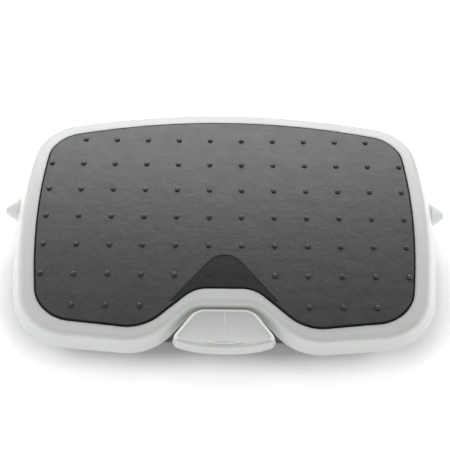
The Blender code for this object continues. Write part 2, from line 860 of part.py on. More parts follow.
def screw():
    """A pan-head screw that hangs from its head, whose underside is at zero."""
    rim = SCREW_HEAD / 2
    return turned((
        (0, -SCREW_LENGTH), (SCREW_RADIUS, -SCREW_LENGTH), (SCREW_RADIUS, 0), (SCREW_HEAD_RADIUS, 0),
        (SCREW_HEAD_RADIUS, rim), (SCREW_HEAD_RADIUS - rim, SCREW_HEAD), (0, SCREW_HEAD),
    ), SCREW_SIDES)


def build_tower_screws(parent):
    seat = BASE_TOP + TOWER_FLANGE + 2 * GAP
    for name, place in tower_screw_places():
        piece(name, moved(screw(), Matrix.Translation((*place, seat))), zinc_steel(), parent)


# Springs

def coil(name, radius, wire, low, high, turns, place, parent):
    """A compression spring between two flat seats, with one near-closed turn at each end."""
    bottom, top = low + wire + GAP, high - wire - GAP
    end_rise = 2 * wire + SPRING_END_GAP
    count = turns * SPRING_POINTS
    points = []
    for step in range(count + 1):
        turned_by = step / SPRING_POINTS
        middle_share = min(1, max(0, (turned_by - 1) / (turns - 2)))
        rise = min(turned_by, 1) * end_rise + max(0, turned_by - turns + 1) * end_rise
        height = bottom + rise + middle_share * (top - bottom - 2 * end_rise)
        angle = 2 * math.pi * turned_by
        points.append(Vector((radius * math.cos(angle), radius * math.sin(angle), height)))
    apart = SPRING_POINTS // 2
    least = min((a - b).length for i, a in enumerate(points) for b in points[i + apart:])
    print(name, "least gap to itself, mm:", round((least - 2 * wire) * 1000, 3))
    curve = bpy.data.curves.new(name, "CURVE")
    curve.dimensions = "3D"
    curve.bevel_depth = wire
    curve.bevel_resolution = 1
    curve.use_fill_caps = True
    spline = curve.splines.new("POLY")
    spline.points.add(count)
    for target, point in zip(spline.points, points):
        target.co = (*point, 1)
    curve.materials.append(steel())
    obj = bpy.data.objects.new(name, curve)
    bpy.context.scene.collection.objects.link(obj)
    obj.parent = parent
    obj.location = place
    return obj


def build_lift_springs(parent):
    low = TOWER_BOTTOM + TOWER_FLOOR
    high = piston_top() - PISTON_CROWN
    for word, middle in tower_places():
        coil(
            "lift_spring_" + word, LIFT_SPRING_RADIUS, LIFT_SPRING_WIRE, low, high, LIFT_SPRING_TURNS,
            (*middle, 0), parent,
        )


# Lift frame

def piston_top():
    return BEAM_TOP - BEAM_WALL - GAP


def build_beam(parent):
    back, front = AXLE_BACK + BEAM_WIDTH / 2, AXLE_BACK - BEAM_WIDTH / 2
    body = box((-BEAM_SIDE, front, BEAM_BOTTOM), (BEAM_SIDE, back, BEAM_TOP))
    hollow = box(
        (BEAM_WALL - BEAM_SIDE, front + BEAM_WALL, BEAM_BOTTOM - OVERRUN),
        (BEAM_SIDE - BEAM_WALL, back - BEAM_WALL, BEAM_TOP - BEAM_WALL),
    )
    hole = bore(SCREW_RADIUS, SCREW_CLEARANCE, SCREW_SIDES)
    holes = []
    for _, side, y in block_screw_places():
        left, right = sorted((side * (BEAM_SIDE - 2 * BEAM_WALL), side * (BEAM_SIDE + BEAM_WALL)))
        holes.append(cross_cylinder(hole, left, right, SCREW_SIDES, (y, BLOCK_SCREW_HEIGHT)))
    piece("lift_beam", cut(body, hollow, together(holes)), black_plastic(), parent)


def block_screw_places():
    """Node names, sides and y places of the screws through the beam's end walls."""
    for side, word in SIDES:
        for across, end in ((-1, "front"), (1, "rear")):
            yield f"beam_screw_{word}_{end}", side, AXLE_BACK + across * BLOCK_SCREW_SPREAD


def block_inner_side():
    return BEAM_SIDE + GAP


def block_outer_side():
    return block_inner_side() + BLOCK_LENGTH


def lug_inner_side():
    """The lugs stand a friction disc away from the blocks."""
    return block_outer_side() + DISC_THICKNESS + GAP


def lug_outer_side():
    return lug_inner_side() + LUG_THICKNESS


def clip_inner_side():
    return lug_outer_side() + BUSH_FLANGE + 2 * GAP


def cap_inner_side():
    return clip_inner_side() + CLIP_THICKNESS + CAP_STANDOFF


def build_blocks(parent):
    hole = bore(SCREW_RADIUS, SCREW_CLEARANCE, SCREW_SIDES)
    axle_hole = bore(AXLE_RADIUS, GAP, MEDIUM_SIDES)
    half = BLOCK_WIDTH / 2
    for side, word in SIDES:
        low, high = sorted((side * block_inner_side(), side * block_outer_side()))
        body = box((low, AXLE_BACK - half, BLOCK_BOTTOM), (high, AXLE_BACK + half, BEAM_TOP))
        root = block_inner_side() + AXLE_ROOT_INSET
        left, right = sorted((side * root, side * (block_outer_side() + OVERRUN)))
        tools = [cross_cylinder(axle_hole, left, right, MEDIUM_SIDES, (AXLE_BACK, AXLE_HEIGHT))]
        left, right = sorted((side * BEAM_SIDE, side * (BEAM_SIDE + SCREW_LENGTH)))
        for _, screw_side, y in block_screw_places():
            if screw_side == side:
                tools.append(cross_cylinder(hole, left, right, SCREW_SIDES, (y, BLOCK_SCREW_HEIGHT)))
        piece("bearing_block_" + word, cut(body, together(tools)), black_plastic(), parent)


def build_beam_screws(parent):
    for name, side, y in block_screw_places():
        seat = side * (BEAM_SIDE - BEAM_WALL - GAP)
        piece(name, along_x(screw(), seat, y, BLOCK_SCREW_HEIGHT, -side), zinc_steel(), parent)


def build_pistons(parent):
    inner = PISTON_RADIUS - PISTON_WALL
    for word, middle in tower_places():
        body = turned((
            (inner, PISTON_BOTTOM), (PISTON_RADIUS, PISTON_BOTTOM),
            (PISTON_RADIUS, piston_top()), (0, piston_top()),
            (0, piston_top() - PISTON_CROWN), (inner, piston_top() - PISTON_CROWN),
        ), LARGE_SIDES)
        piece("piston_" + word, moved(body, Matrix.Translation((*middle, 0))), white_nylon(), parent)


def build_lock_rod(parent):
    body = cylinder(LOCK_ROD_RADIUS, LOCK_ROD_BOTTOM, piston_top(), SMALL_SIDES, (0, AXLE_BACK))
    piece("lock_rod", body, steel(), parent)


# What is threaded on the tilt axles, from the block outward

def ring_solid(inner, outer, length, sides):
    return turned(((inner, 0), (outer, 0), (outer, length), (inner, length)), sides)


def on_axle(bm, start, side):
    return along_x(bm, side * start, AXLE_BACK, AXLE_HEIGHT, side)


def build_axles(parent):
    loose = bore(AXLE_RADIUS, RUNNING_CLEARANCE, MEDIUM_SIDES)
    root = block_inner_side() + AXLE_ROOT_INSET + GAP
    disc_start = block_outer_side() + GAP / 3
    for side, word in SIDES:
        reach = cap_inner_side() + AXLE_GRIP - root
        axle = turned(((0, 0), (AXLE_RADIUS, 0), (AXLE_RADIUS, reach), (0, reach)), MEDIUM_SIDES)
        piece("axle_" + word, on_axle(axle, root, side), steel(), parent)
        disc = ring_solid(loose, DISC_RADIUS, DISC_THICKNESS, MEDIUM_SIDES)
        piece("friction_disc_" + word, on_axle(disc, disc_start, side), foot_rubber(), parent)
        clip = ring_solid(loose, CLIP_RADIUS, CLIP_THICKNESS, MEDIUM_SIDES)
        piece("axle_clip_" + word, on_axle(clip, clip_inner_side(), side), zinc_steel(), parent)


def build_bushes(parent):
    """The bushes sit in the tray's lugs and turn with it; drawn about the tilt axle."""
    inner = bore(AXLE_RADIUS, RUNNING_CLEARANCE, MEDIUM_SIDES)
    outer = bush_radius()
    seat = LUG_THICKNESS + GAP
    profile = (
        (inner, 0), (outer, 0), (outer, seat), (BUSH_FLANGE_RADIUS, seat),
        (BUSH_FLANGE_RADIUS, seat + BUSH_FLANGE), (inner, seat + BUSH_FLANGE),
    )
    for side, word in SIDES:
        bush = along_x(turned(profile, MEDIUM_SIDES), side * lug_inner_side(), 0, 0, side)
        piece("axle_bush_" + word, bush, white_nylon(), parent)


def build_side_caps(parent):
    """Conical caps pressed on the axle ends."""
    profile = [(0, 0)] + [(CAP_RADIUS * across, CAP_LENGTH * along) for across, along in CAP_SHARES]
    hole = bore(AXLE_RADIUS, GAP, MEDIUM_SIDES)
    for side, word in SIDES:
        body = cut(turned(profile, LARGE_SIDES), cylinder(hole, -OVERRUN, AXLE_GRIP + GAP, MEDIUM_SIDES))
        piece("side_cap_" + word, on_axle(body, cap_inner_side(), side), grey_plastic(), parent)


# Pedal, drawn about its hinge

def pedal_top(front):
    """Height of the pedal's top plane at a distance in front of the reference row."""
    return PEDAL_BACK_HEIGHT - (front - PEDAL_BACK) * PEDAL_SLOPE


def pedal_outline():
    return mirrored(rounded_half((
        (0, -PEDAL_BACK, 0),
        (PEDAL_BACK_SIDE, -PEDAL_BACK, PEDAL_BACK_ROUND),
        (PEDAL_SIDE, -PEDAL_SIDE_FRONT, PEDAL_SIDE_ROUND),
        (PEDAL_NOSE_SIDE, -PEDAL_NOSE_FRONT, PEDAL_NOSE_ROUND),
        (0, -PEDAL_FRONT, 0),
    )))


def sloped_ring(points, distance, below):
    """A ring of the pedal's outline at a depth under its sloping top."""
    return [(p.x, p.y, pedal_top(-p.y) - below) for p in inset(points, distance)]


def pedal_shell():
    outline = pedal_outline()
    rings = [sloped_ring(outline, -PEDAL_FLARE, PEDAL_DEPTH)]
    for step in range(PEDAL_EDGE_STEPS + 1):
        angle = math.pi / 2 * step / PEDAL_EDGE_STEPS
        distance = PEDAL_EDGE_ROUND * (1 - math.cos(angle))
        rings.append(sloped_ring(outline, distance, PEDAL_EDGE_ROUND * (1 - math.sin(angle))))
    hollow = loft([
        sloped_ring(outline, PEDAL_WALL - PEDAL_FLARE, PEDAL_DEPTH + OVERRUN),
        sloped_ring(outline, PEDAL_WALL, PEDAL_PLATE),
    ])
    return cut(loft(rings), hollow)


def pedal_arm(side):
    """The web from the hinge barrel forward and up into the pedal's plate."""
    depth = PEDAL_PLATE / 2
    points = [
        (-HINGE_FRONT, HINGE_HEIGHT - PEDAL_BARREL_RADIUS / 2),
        (-HINGE_FRONT, HINGE_HEIGHT + PEDAL_BARREL_RADIUS / 2),
        (-PEDAL_ARM_RISE_FRONT, PEDAL_ARM_THROAT),
        (-PEDAL_ARM_RISE_FRONT, pedal_top(PEDAL_ARM_RISE_FRONT) - depth),
        (-PEDAL_ARM_FRONT, pedal_top(PEDAL_ARM_FRONT) - depth),
        (-PEDAL_ARM_TOE_FRONT, PEDAL_ARM_TOE),
        (-PEDAL_ARM_HEEL_FRONT, PEDAL_ARM_HEEL),
    ]
    middle, half = side * PEDAL_ARM_SIDE, PEDAL_ARM_THICKNESS / 2
    return cross_prism([Vector(p) for p in points], middle - half, middle + half)


def rod_height():
    return HINGE_HEIGHT + ROD_RISE


def pedal_fork(side):
    """One cheek of the fork above the barrel that takes the pull rod's eye."""
    inner = ROD_EYE_HALF + BRACKET_CLEARANCE / 2
    low, high = sorted((side * inner, side * (inner + FORK_THICKNESS)))
    half = ROD_EYE_RADIUS
    points = [Vector((-HINGE_FRONT - half, HINGE_HEIGHT)), Vector((half - HINGE_FRONT, HINGE_HEIGHT))]
    for step in range(ARC_STEPS + 1):
        angle = math.pi * step / ARC_STEPS
        points.append(Vector((-HINGE_FRONT + half * math.cos(angle), rod_height() + half * math.sin(angle))))
    return cross_prism(points, low, high)


def ridge():
    """The low lens-shaped bar near the pedal's front edge."""
    points = []
    for bulge, way in ((RIDGE_SAG, 1), (-RIDGE_ARCH, -1)):
        for step in range(-ARC_STEPS, ARC_STEPS):
            share = way * step / ARC_STEPS
            points.append(Vector((RIDGE_SIDE * share, -RIDGE_FRONT - bulge * (1 - share ** 2))))
    low, high = PEDAL_PLATE / 2, -RIDGE_HEIGHT
    return loft([[(p.x, p.y, pedal_top(-p.y) - below) for p in points] for below in (low, high)])


def build_pedal(parent):
    reach = PEDAL_ARM_SIDE + PEDAL_ARM_THICKNESS / 2
    hinge = (-HINGE_FRONT, HINGE_HEIGHT)
    body = joined(pedal_shell(), ridge(), together([pedal_arm(side) for side in (-1, 1)]))
    barrel = cross_cylinder(PEDAL_BARREL_RADIUS, -reach, reach, MEDIUM_SIDES, hinge)
    barrel = joined(barrel, together([pedal_fork(side) for side in (-1, 1)]))
    body = joined(body, barrel)
    pin_hole = bore(PEDAL_PIN_RADIUS, RUNNING_CLEARANCE, SMALL_SIDES)
    link_hole = bore(LINK_PIN_RADIUS, RUNNING_CLEARANCE, SCREW_SIDES)
    body = cut(body, together([
        cross_cylinder(pin_hole, -reach - OVERRUN, reach + OVERRUN, SMALL_SIDES, hinge),
        cross_cylinder(link_hole, -reach / 2, reach / 2, SCREW_SIDES, (-HINGE_FRONT, rod_height())),
    ]))
    body = moved(body, Matrix.Translation((0, HINGE_FRONT, -HINGE_HEIGHT)))
    piece("foot_pedal", body, grey_plastic(), parent)
    link_reach = ROD_EYE_HALF + BRACKET_CLEARANCE / 2 + FORK_THICKNESS
    pin = cross_cylinder(LINK_PIN_RADIUS, -link_reach, link_reach, SCREW_SIDES, (0, ROD_RISE))
    piece("rod_pin", pin, steel(), parent)


def build_pedal_fittings(parent):
    reach = cheek_inner_side() + CHEEK_THICKNESS
    pin = cross_cylinder(PEDAL_PIN_RADIUS, -reach, reach, SMALL_SIDES, (-HINGE_FRONT, HINGE_HEIGHT))
    piece("pedal_pin", pin, steel(), parent)
    coil(
        "pedal_spring", PEDAL_SPRING_RADIUS, PEDAL_SPRING_WIRE, BASE_TOP,
        pedal_top(PEDAL_SPRING_FRONT + PEDAL_SPRING_RADIUS) - PEDAL_PLATE, PEDAL_SPRING_TURNS,
        (0, -PEDAL_SPRING_FRONT, 0), parent,
    )


# Lock linkage

def build_pull_rod(parent):
    """Drawn in place: an eye in the pedal's fork, a rod, and a fork round the lever's foot."""
    height = rod_height()
    link_hole = bore(LINK_PIN_RADIUS, RUNNING_CLEARANCE * 2, SCREW_SIDES)
    eye = cross_cylinder(ROD_EYE_RADIUS, -ROD_EYE_HALF, ROD_EYE_HALF, SMALL_SIDES, (-HINGE_FRONT, height))
    reach = 2 * ROD_EYE_HALF
    eye = cut(eye, cross_cylinder(link_hole, -reach, reach, SCREW_SIDES, (-HINGE_FRONT, height)))
    inner = LEVER_WEB_HALF + BRACKET_CLEARANCE / 2
    outer = inner + FORK_THICKNESS
    slot_front = LEVER_BACK - 2 * ROD_EYE_RADIUS
    fork_back = LEVER_BACK + ROD_EYE_RADIUS
    fork = box(
        (-outer, slot_front - FORK_THICKNESS, height - FORK_HALF_HEIGHT),
        (outer, fork_back, height + FORK_HALF_HEIGHT),
    )
    slot = box(
        (-inner, slot_front, height - 2 * FORK_HALF_HEIGHT),
        (inner, fork_back + OVERRUN, height + 2 * FORK_HALF_HEIGHT),
    )
    front_end = HINGE_FRONT - (ROD_EYE_RADIUS + LINK_PIN_RADIUS) / 2
    rod = prism(circle(ROD_RADIUS, SMALL_SIDES), FORK_THICKNESS / 2 - slot_front, front_end)
    rod = moved(rod, Matrix.Translation((0, 0, height)) @ Matrix.Rotation(math.pi / 2, 4, "X"))
    pin_tool = cross_cylinder(link_hole, -2 * outer, 2 * outer, SCREW_SIDES, (LEVER_BACK, height))
    body = joined(cut(fork, slot, pin_tool), rod, eye)
    piece("pull_rod", body, zinc_steel(), parent)


def build_lever(parent):
    """The bell crank: a flat arm round the lock rod and a web down to the pull rod, drawn about its pin."""
    plate_low = LEVER_PLATE_RISE
    plate_high = plate_low + LEVER_PLATE
    plate = box(
        (-LEVER_PLATE_HALF, LEVER_PLATE_START, plate_low),
        (LEVER_PLATE_HALF, LEVER_PLATE_REACH, plate_high),
    )
    drop = LEVER_HEIGHT - rod_height()
    points = [
        Vector((LEVER_WEB_REACH, plate_low + LEVER_PLATE / 2)),
        Vector((-LEVER_BARREL_RADIUS / 2, plate_low)),
    ]
    for step in range(ARC_STEPS + 1):
        angle = math.pi + math.pi * step / ARC_STEPS
        foot = Vector((math.cos(angle), math.sin(angle))) * LEVER_FOOT_RADIUS
        points.append(foot - Vector((0, drop)))
    web = cross_prism(points, -LEVER_WEB_HALF, LEVER_WEB_HALF)
    barrel = cross_cylinder(LEVER_BARREL_RADIUS, -LEVER_BARREL_HALF, LEVER_BARREL_HALF, SMALL_SIDES, (0, 0))
    body = joined(plate, web, barrel)
    reach = 2 * LEVER_BARREL_HALF
    pin_hole = bore(LOCK_PIN_RADIUS, RUNNING_CLEARANCE, SMALL_SIDES)
    link_hole = bore(LINK_PIN_RADIUS, RUNNING_CLEARANCE, SCREW_SIDES)
    grip_hole = bore(LOCK_ROD_RADIUS, LEVER_GRIP_CLEARANCE, SMALL_SIDES)
    grip_place = (0, AXLE_BACK - LEVER_BACK)
    body = cut(
        body,
        cross_cylinder(pin_hole, -reach, reach, SMALL_SIDES, (0, 0)),
        cross_cylinder(link_hole, -reach, reach, SCREW_SIDES, (0, -drop)),
        cylinder(grip_hole, -plate_high, 2 * plate_high, SMALL_SIDES, grip_place),
    )
    piece("lock_lever", body, zinc_steel(), parent)
    link_reach = LEVER_WEB_HALF + BRACKET_CLEARANCE / 2 + FORK_THICKNESS
    pin = cross_cylinder(LINK_PIN_RADIUS, -link_reach, link_reach, SCREW_SIDES, (0, -drop))
    piece("lever_pin", pin, steel(), parent)


def build_bracket(parent):
    foot_low = BASE_TOP + GAP
    foot_high = foot_low + BRACKET_FOOT
    inner = LEVER_BARREL_HALF + BRACKET_CLEARANCE
    outer = inner + BRACKET_CHEEK
    head = LEVER_HEIGHT + BRACKET_HEAD_ROOM
    front, back = LEVER_BACK - BRACKET_HALF_LENGTH, LEVER_BACK + BRACKET_HALF_LENGTH
    body = box((-BRACKET_FOOT_SIDE, front, foot_low), (BRACKET_FOOT_SIDE, back, foot_high))
    for side in (-1, 1):
        low, high = sorted((side * inner, side * outer))
        body = joined(body, box((low, front, foot_low + BRACKET_FOOT / 2), (high, back, head)))
    reach = outer + OVERRUN
    pin_place = (LEVER_BACK, LEVER_HEIGHT)
    fork_side = LEVER_WEB_HALF + FORK_THICKNESS + 2 * BRACKET_CLEARANCE
    fork_back = LEVER_BACK + ROD_EYE_RADIUS + 2 * BRACKET_CLEARANCE
    pin_hole = bore(LOCK_PIN_RADIUS, GAP, SMALL_SIDES)
    tools = [
        cross_cylinder(pin_hole, -reach, reach, SMALL_SIDES, pin_place),
        box((-fork_side, front - OVERRUN, BASE_TOP), (fork_side, fork_back, foot_high + OVERRUN)),
    ]
    hole = bore(SCREW_RADIUS, SCREW_CLEARANCE, SCREW_SIDES)
    for _, place in bracket_screw_places():
        tools.append(cylinder(hole, BASE_TOP - OVERRUN, foot_high + OVERRUN, SCREW_SIDES, place))
    piece("lock_bracket", cut(body, together(tools)), zinc_steel(), parent)
    pin = cross_cylinder(LOCK_PIN_RADIUS, -outer, outer, SMALL_SIDES, pin_place)
    piece("lock_pin", pin, steel(), parent)
    seat = foot_high + GAP
    for name, place in bracket_screw_places():
        piece(name, moved(screw(), Matrix.Translation((*place, seat))), zinc_steel(), parent)


# Whole object

def centre_shift():
    """Moves the object so that the middle of its depth is at the origin."""
    edge = crown_point(Vector((0, TRAY_BACK + TRAY_FLARE, -TRAY_SKIRT)))
    back = AXLE_BACK + edge.y * math.cos(REST_TILT) - edge.z * math.sin(REST_TILT)
    return (PEDAL_FRONT + PEDAL_FLARE - back) / 2


def main():
    for obj in list(bpy.data.objects):
        bpy.data.objects.remove(obj)
    base = empty("base_frame", (0, centre_shift(), 0), None)
    lift = empty("lift_axis", (0, 0, 0), base)
    tilt = empty("tilt_axis", (0, AXLE_BACK, AXLE_HEIGHT), lift, REST_TILT)
    pedal = empty("pedal_axis", (0, -HINGE_FRONT, HINGE_HEIGHT), base)
    rod = empty("pull_rod_axis", (0, 0, 0), base)
    lever = empty("lever_axis", (0, LEVER_BACK, LEVER_HEIGHT), base)

    build_tray(tilt)
    build_mat(tilt)
    build_bushes(tilt)

    build_beam(lift)
    build_blocks(lift)
    build_beam_screws(lift)
    build_pistons(lift)
    build_lock_rod(lift)
    build_axles(lift)
    build_side_caps(lift)

    build_base_shell(base)
    build_feet(base)
    build_towers(base)
    build_tower_screws(base)
    build_lift_springs(base)
    build_pedal_fittings(base)
    build_bracket(base)

    build_pedal(pedal)
    build_pull_rod(rod)
    build_lever(lever)

    bpy.context.view_layer.update()
    for guide in (tilt, pedal, lever):
        print(guide.name, [round(c, 6) for c in guide.matrix_world.translation])


main()
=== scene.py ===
"""Looks of the under-desk footrest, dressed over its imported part. Lengths in metres, +Y to the back."""

import json
import math

import bmesh
import bpy
from mathutils import Matrix, Vector


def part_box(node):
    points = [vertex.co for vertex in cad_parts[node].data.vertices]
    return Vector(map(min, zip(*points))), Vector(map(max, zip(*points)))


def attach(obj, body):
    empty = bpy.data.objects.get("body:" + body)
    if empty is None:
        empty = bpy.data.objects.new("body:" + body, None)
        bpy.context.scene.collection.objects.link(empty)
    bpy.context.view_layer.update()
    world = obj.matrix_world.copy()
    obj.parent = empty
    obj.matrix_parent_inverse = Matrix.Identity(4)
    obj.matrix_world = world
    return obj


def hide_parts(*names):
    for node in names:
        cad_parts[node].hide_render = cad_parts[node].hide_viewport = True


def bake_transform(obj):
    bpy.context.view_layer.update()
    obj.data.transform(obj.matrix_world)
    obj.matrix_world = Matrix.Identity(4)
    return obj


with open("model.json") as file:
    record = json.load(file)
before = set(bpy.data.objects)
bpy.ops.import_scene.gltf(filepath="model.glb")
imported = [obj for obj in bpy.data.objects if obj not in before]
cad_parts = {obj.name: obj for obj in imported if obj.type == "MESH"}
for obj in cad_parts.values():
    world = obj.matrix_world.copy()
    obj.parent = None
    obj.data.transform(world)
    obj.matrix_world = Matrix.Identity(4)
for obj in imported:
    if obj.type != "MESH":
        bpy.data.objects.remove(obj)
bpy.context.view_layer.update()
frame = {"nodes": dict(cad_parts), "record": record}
for plain in list(bpy.data.materials):
    bpy.data.materials.remove(plain)

# Measures of the part and of its dressing
GAP = 0.0003
CROWN_RADIUS = 1.457
REST_TILT = math.radians(11)
AXLE_HEIGHT = 0.06465
AXLE_BACK = 0.0344
AXLE_SETBACK = 0.035
AXLE_DROP = 0.045
TRAY_BACK = 0.1886
TRAY_SIDE = 0.2854
TRAY_REAR_ROUND = 0.044
LOBE_OUTER_SIDE = 0.276
LOBE_OUTER_FRONT = 0.1724
LOBE_OUTER_ROUND = 0.0626
LOBE_INNER_SIDE = 0.104
LOBE_INNER_FRONT = 0.1875
LOBE_INNER_ROUND = 0.085
NOTCH_SIDE = 0.0447
NOTCH_FRONT = 0.1312
NOTCH_ROUND = 0.040
SIDE_BOW_RADIUS = 1.010
SIDE_BOW_FRONT = 0.0195
BACK_BOW_RADIUS = 1.145
TRAY_PLATE = 0.0035
TRAY_WALL = 0.003
TRAY_SKIRT = 0.025
TRAY_FLARE = 0.0088
TRAY_NOTCH_FLARE = 0.0035
TRAY_EDGE_ROUND = 0.006
TRAY_LIP = 0.0006
TRAY_RIB_DEPTH = 0.0035
TRAY_RIB_THICKNESS = 0.002
TRAY_RIB_BACK = 0.165
TRAY_RIB_FRONT = 0.112
TRAY_RIB_SIDES = (0.045, 0.150)
LUG_THICKNESS = 0.012
LUG_ROUND = 0.012
LUG_HALF_ROOT = 0.024
LUG_INNER_SIDE = 0.2386
MAT_RECESS = 0.0012
MAT_PROUD = 0.0016
MAT_EDGE = 0.0007
# Width of the painted shade line just inside the mat's edge
MAT_SHADE_LINE = 0.0011
MAT_CLEARANCE = 0.0011
RIM_BACK = 0.019
RIM_SIDE = 0.0213
RIM_LOBE_SIDE = 0.0228
RIM_LOBE_FRONT = 0.0219
RIM_FRONT = 0.0199
RIM_NOTCH = 0.0218
MAT_REAR_ROUND = 0.0346
MAT_OUTER_ROUND = 0.0514
MAT_INNER_SHIFT = 0.006
MAT_INNER_ROUND = 0.0713
MAT_NOTCH_SHIFT = 0.005
MAT_NOTCH_ROUND = 0.045
MAT_BACK_BOW_RADIUS = 0.980
NUB_PITCH = 0.0446
NUB_COLUMNS = 12
NUB_MIDDLE_ROW = 4
NUB_FORWARD = 0.0012
NUB_RADIUS = 0.0037
NUB_HEIGHT = 0.0026
NUB_LIFT = 0.0003
# Row of the lattice, first and last column
NUB_RUNS = (
    (1, 2, 11), (2, 1, 12), (3, 1, 12), (4, 1, 12), (5, 1, 12), (6, 1, 5), (6, 8, 12), (7, 2, 4), (7, 9, 11),
)
PATCH_PEAK_FRONT = 0.044
PATCH_SIDE = 0.072
PATCH_ROUND = 0.029
PATCH_DEPTH = 0.0006
PATCH_MARGIN = 0.0022
CUTTER = 0.001
SHADE_LINE_SHARE = 0.75
FACES_UP = 0.9
# Nub faces steeper than this take painted shade
NUB_SHADE_UP = 0.6
FOOT_BACK = 0.122
AXLE_BORE = 0.0051
BUSH_RADIUS = 0.00748
BUSH_FLANGE = 0.0015
CAP_INNER_SIDE = 0.2806
CAP_RADIUS = 0.0175
CAP_LENGTH = 0.0305
CAP_EASE = 0.0024
# Shares of the cap's radius and length
CAP_SHARES = ((1, 0), (1, 0.36), (0.36, 0.90), (0.22, 0.98), (0, 1))
PEDAL_BACK = 0.1372
PEDAL_BACK_SIDE = 0.0375
PEDAL_BACK_ROUND = 0.026
PEDAL_SIDE = 0.070
PEDAL_SIDE_FRONT = 0.1785
PEDAL_SIDE_ROUND = 0.007
PEDAL_NOSE_SIDE = 0.040
PEDAL_NOSE_FRONT = 0.1882
PEDAL_NOSE_ROUND = 0.150
PEDAL_FRONT = 0.190
PEDAL_BACK_HEIGHT = 0.063
PEDAL_SLOPE = 0.285
PEDAL_DEPTH = 0.012
PEDAL_PLATE = 0.0028
PEDAL_WALL = 0.0026
PEDAL_EDGE_ROUND = 0.0025
PEDAL_BEAD = 0.0017
BEAD_REACH = 1.3
BEAD_DROP = 0.12
PEDAL_FLARE = 0.0022
PEDAL_LIP = 0.0004
HINGE_FRONT = 0.125
HINGE_HEIGHT = 0.012
PEDAL_PIN_RADIUS = 0.003
PEDAL_BARREL_RADIUS = 0.007
PEDAL_ARM_SIDE = 0.0245
PEDAL_ARM_THICKNESS = 0.005
# Distance to the front and height; None lies in the middle of the pedal's plate
PEDAL_ARM_POINTS = (
    (0.125, 0.0085), (0.125, 0.0155), (0.1425, 0.020), (0.1425, None), (0.158, None), (0.149, 0.026),
    (0.146, 0.009),
)
RIDGE_SIDE = 0.0248
RIDGE_FRONT = 0.1826
RIDGE_ARCH = 0.0032
RIDGE_SAG = 0.0022
RIDGE_HEIGHT = 0.0014
RIDGE_FOOT = 0.0002
# Shares of the ridge's outline and height
RIDGE_SHARES = ((0.94, 0.55), (0.8, 0.9), (0.55, 1))
SEAM = 0.00022
SEAM_BREAK = (0.158, 0.168)
FORK_INNER = 0.0035
FORK_THICKNESS = 0.003
FORK_HALF = 0.0035
FORK_HEIGHT = 0.023
PIN_PLAY = 0.0001
PISTON_WALL = 0.0025
PISTON_CROWN = 0.003
TOWER_INNER = 0.0178
TOWER_OUTER = 0.0208
TOWER_FLOOR = 0.003
FLANGE_LOW = 0.0183
FLANGE_HIGH = 0.0213
GUSSET_HEIGHT = 0.014
GUSSET_HALF = 0.001
GUSSET_FOOT = 0.002
SCREW_HEAD = 0.0022
SCREW_HEAD_RADIUS = 0.0038
SCREW_FLAT = 0.45
SCREW_POINT = 0.001
SCREW_SHANK = 0.002
RECESS_REACH = 0.0019
RECESS_HALF = 0.00035
RECESS_TAPER = 0.55
RECESS_FLOOR = 0.35
SPRING_STEP = 28
WIRE_SIDES = 12
SPRING_END_GAP = 0.0006
# Name, coil radius, wire radius, turns, and the body that is pushed
SPRINGS = (
    ("lift_spring_left", 0.011, 0.0012, 8, "lift_frame"),
    ("lift_spring_right", 0.011, 0.0012, 8, "lift_frame"),
    ("pedal_spring", 0.005, 0.0006, 6, "pedal"),
)
FOOT_GROOVES = (0.24, 0.46, 0.68)
# Across and up: from a groove's start, and from the foot's side
FOOT_GROOVE = ((0, 0), (0.0002, 0.0006), (0.0009, 0.0006), (0.0011, 0))
FOOT_EDGE = ((-0.001, 0), (-0.0003, 0.0003), (0, 0.001))
TUBE_EASE = 0.0005
TOWER_EASE = 0.0006
AXLE_EASE = 0.0006
DISC_EASE = 0.0004
CLIP_EASE = 0.0002
LOCK_ROD_EASE = 0.0008
PIN_EASE = 0.0003
# Widths of the eased edges
BEVELS = {
    "base_shell": 0.0005, "lift_beam": 0.0005, "bearing_block_left": 0.0008, "bearing_block_right": 0.0008,
    "lock_bracket": 0.0003, "lock_lever": 0.0003, "pull_rod": 0.0003,
}

# Fineness of the dressed pieces
ARC = 14
ROUND = 6
STRIP = 0.006
SIDES = 48
TUBE_SIDES = 64
SMALL_SIDES = 32
SCREW_SIDES = 24
NUB_SIDES = 20
MERGE = 1e-6

rear_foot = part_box("foot_rear_left")
SHIFT = (rear_foot[0].y + rear_foot[1].y) / 2 - FOOT_BACK
PLACE = Matrix.Translation((0, SHIFT, 0))
TILTED = Matrix.Translation((0, SHIFT + AXLE_BACK, AXLE_HEIGHT)) @ Matrix.Rotation(REST_TILT, 4, "X")


# Outlines

def rounded_half(corners, parts):
    """Half an outline with rounded corners; its straights are divided into the given parts."""
    points = [Vector(corners[0][:2])]
    for count, before, here, after in zip(parts, corners[:-2], corners[1:-1], corners[2:]):
        corner, radius = Vector(here[:2]), here[2]
        back = (Vector(before[:2]) - corner).normalized()
        ahead = (Vector(after[:2]) - corner).normalized()
        half_angle = back.angle(ahead) / 2
        centre = corner + (back + ahead).normalized() * radius / math.sin(half_angle)
        start = corner + back * radius / math.tan(half_angle) - centre
        end = corner + ahead * radius / math.tan(half_angle) - centre
        sweep = start.angle_signed(end)
        last = points[-1]
        points += [last.lerp(centre + start, i / count) for i in range(1, count)]
        points += [centre + Matrix.Rotation(-sweep * i / ARC, 2) @ start for i in range(ARC + 1)]
    last, end, count = points[-1], Vector(corners[-1][:2]), parts[-1]
    return points + [last.lerp(end, i / count) for i in range(1, count + 1)]


def mirrored(half):
    whole = half + [Vector((-p.x, p.y)) for p in reversed(half[1:-1])]
    area = sum(a.x * b.y - b.x * a.y for a, b in zip(whole, whole[1:] + whole[:1]))
    return whole if area > 0 else whole[::-1]


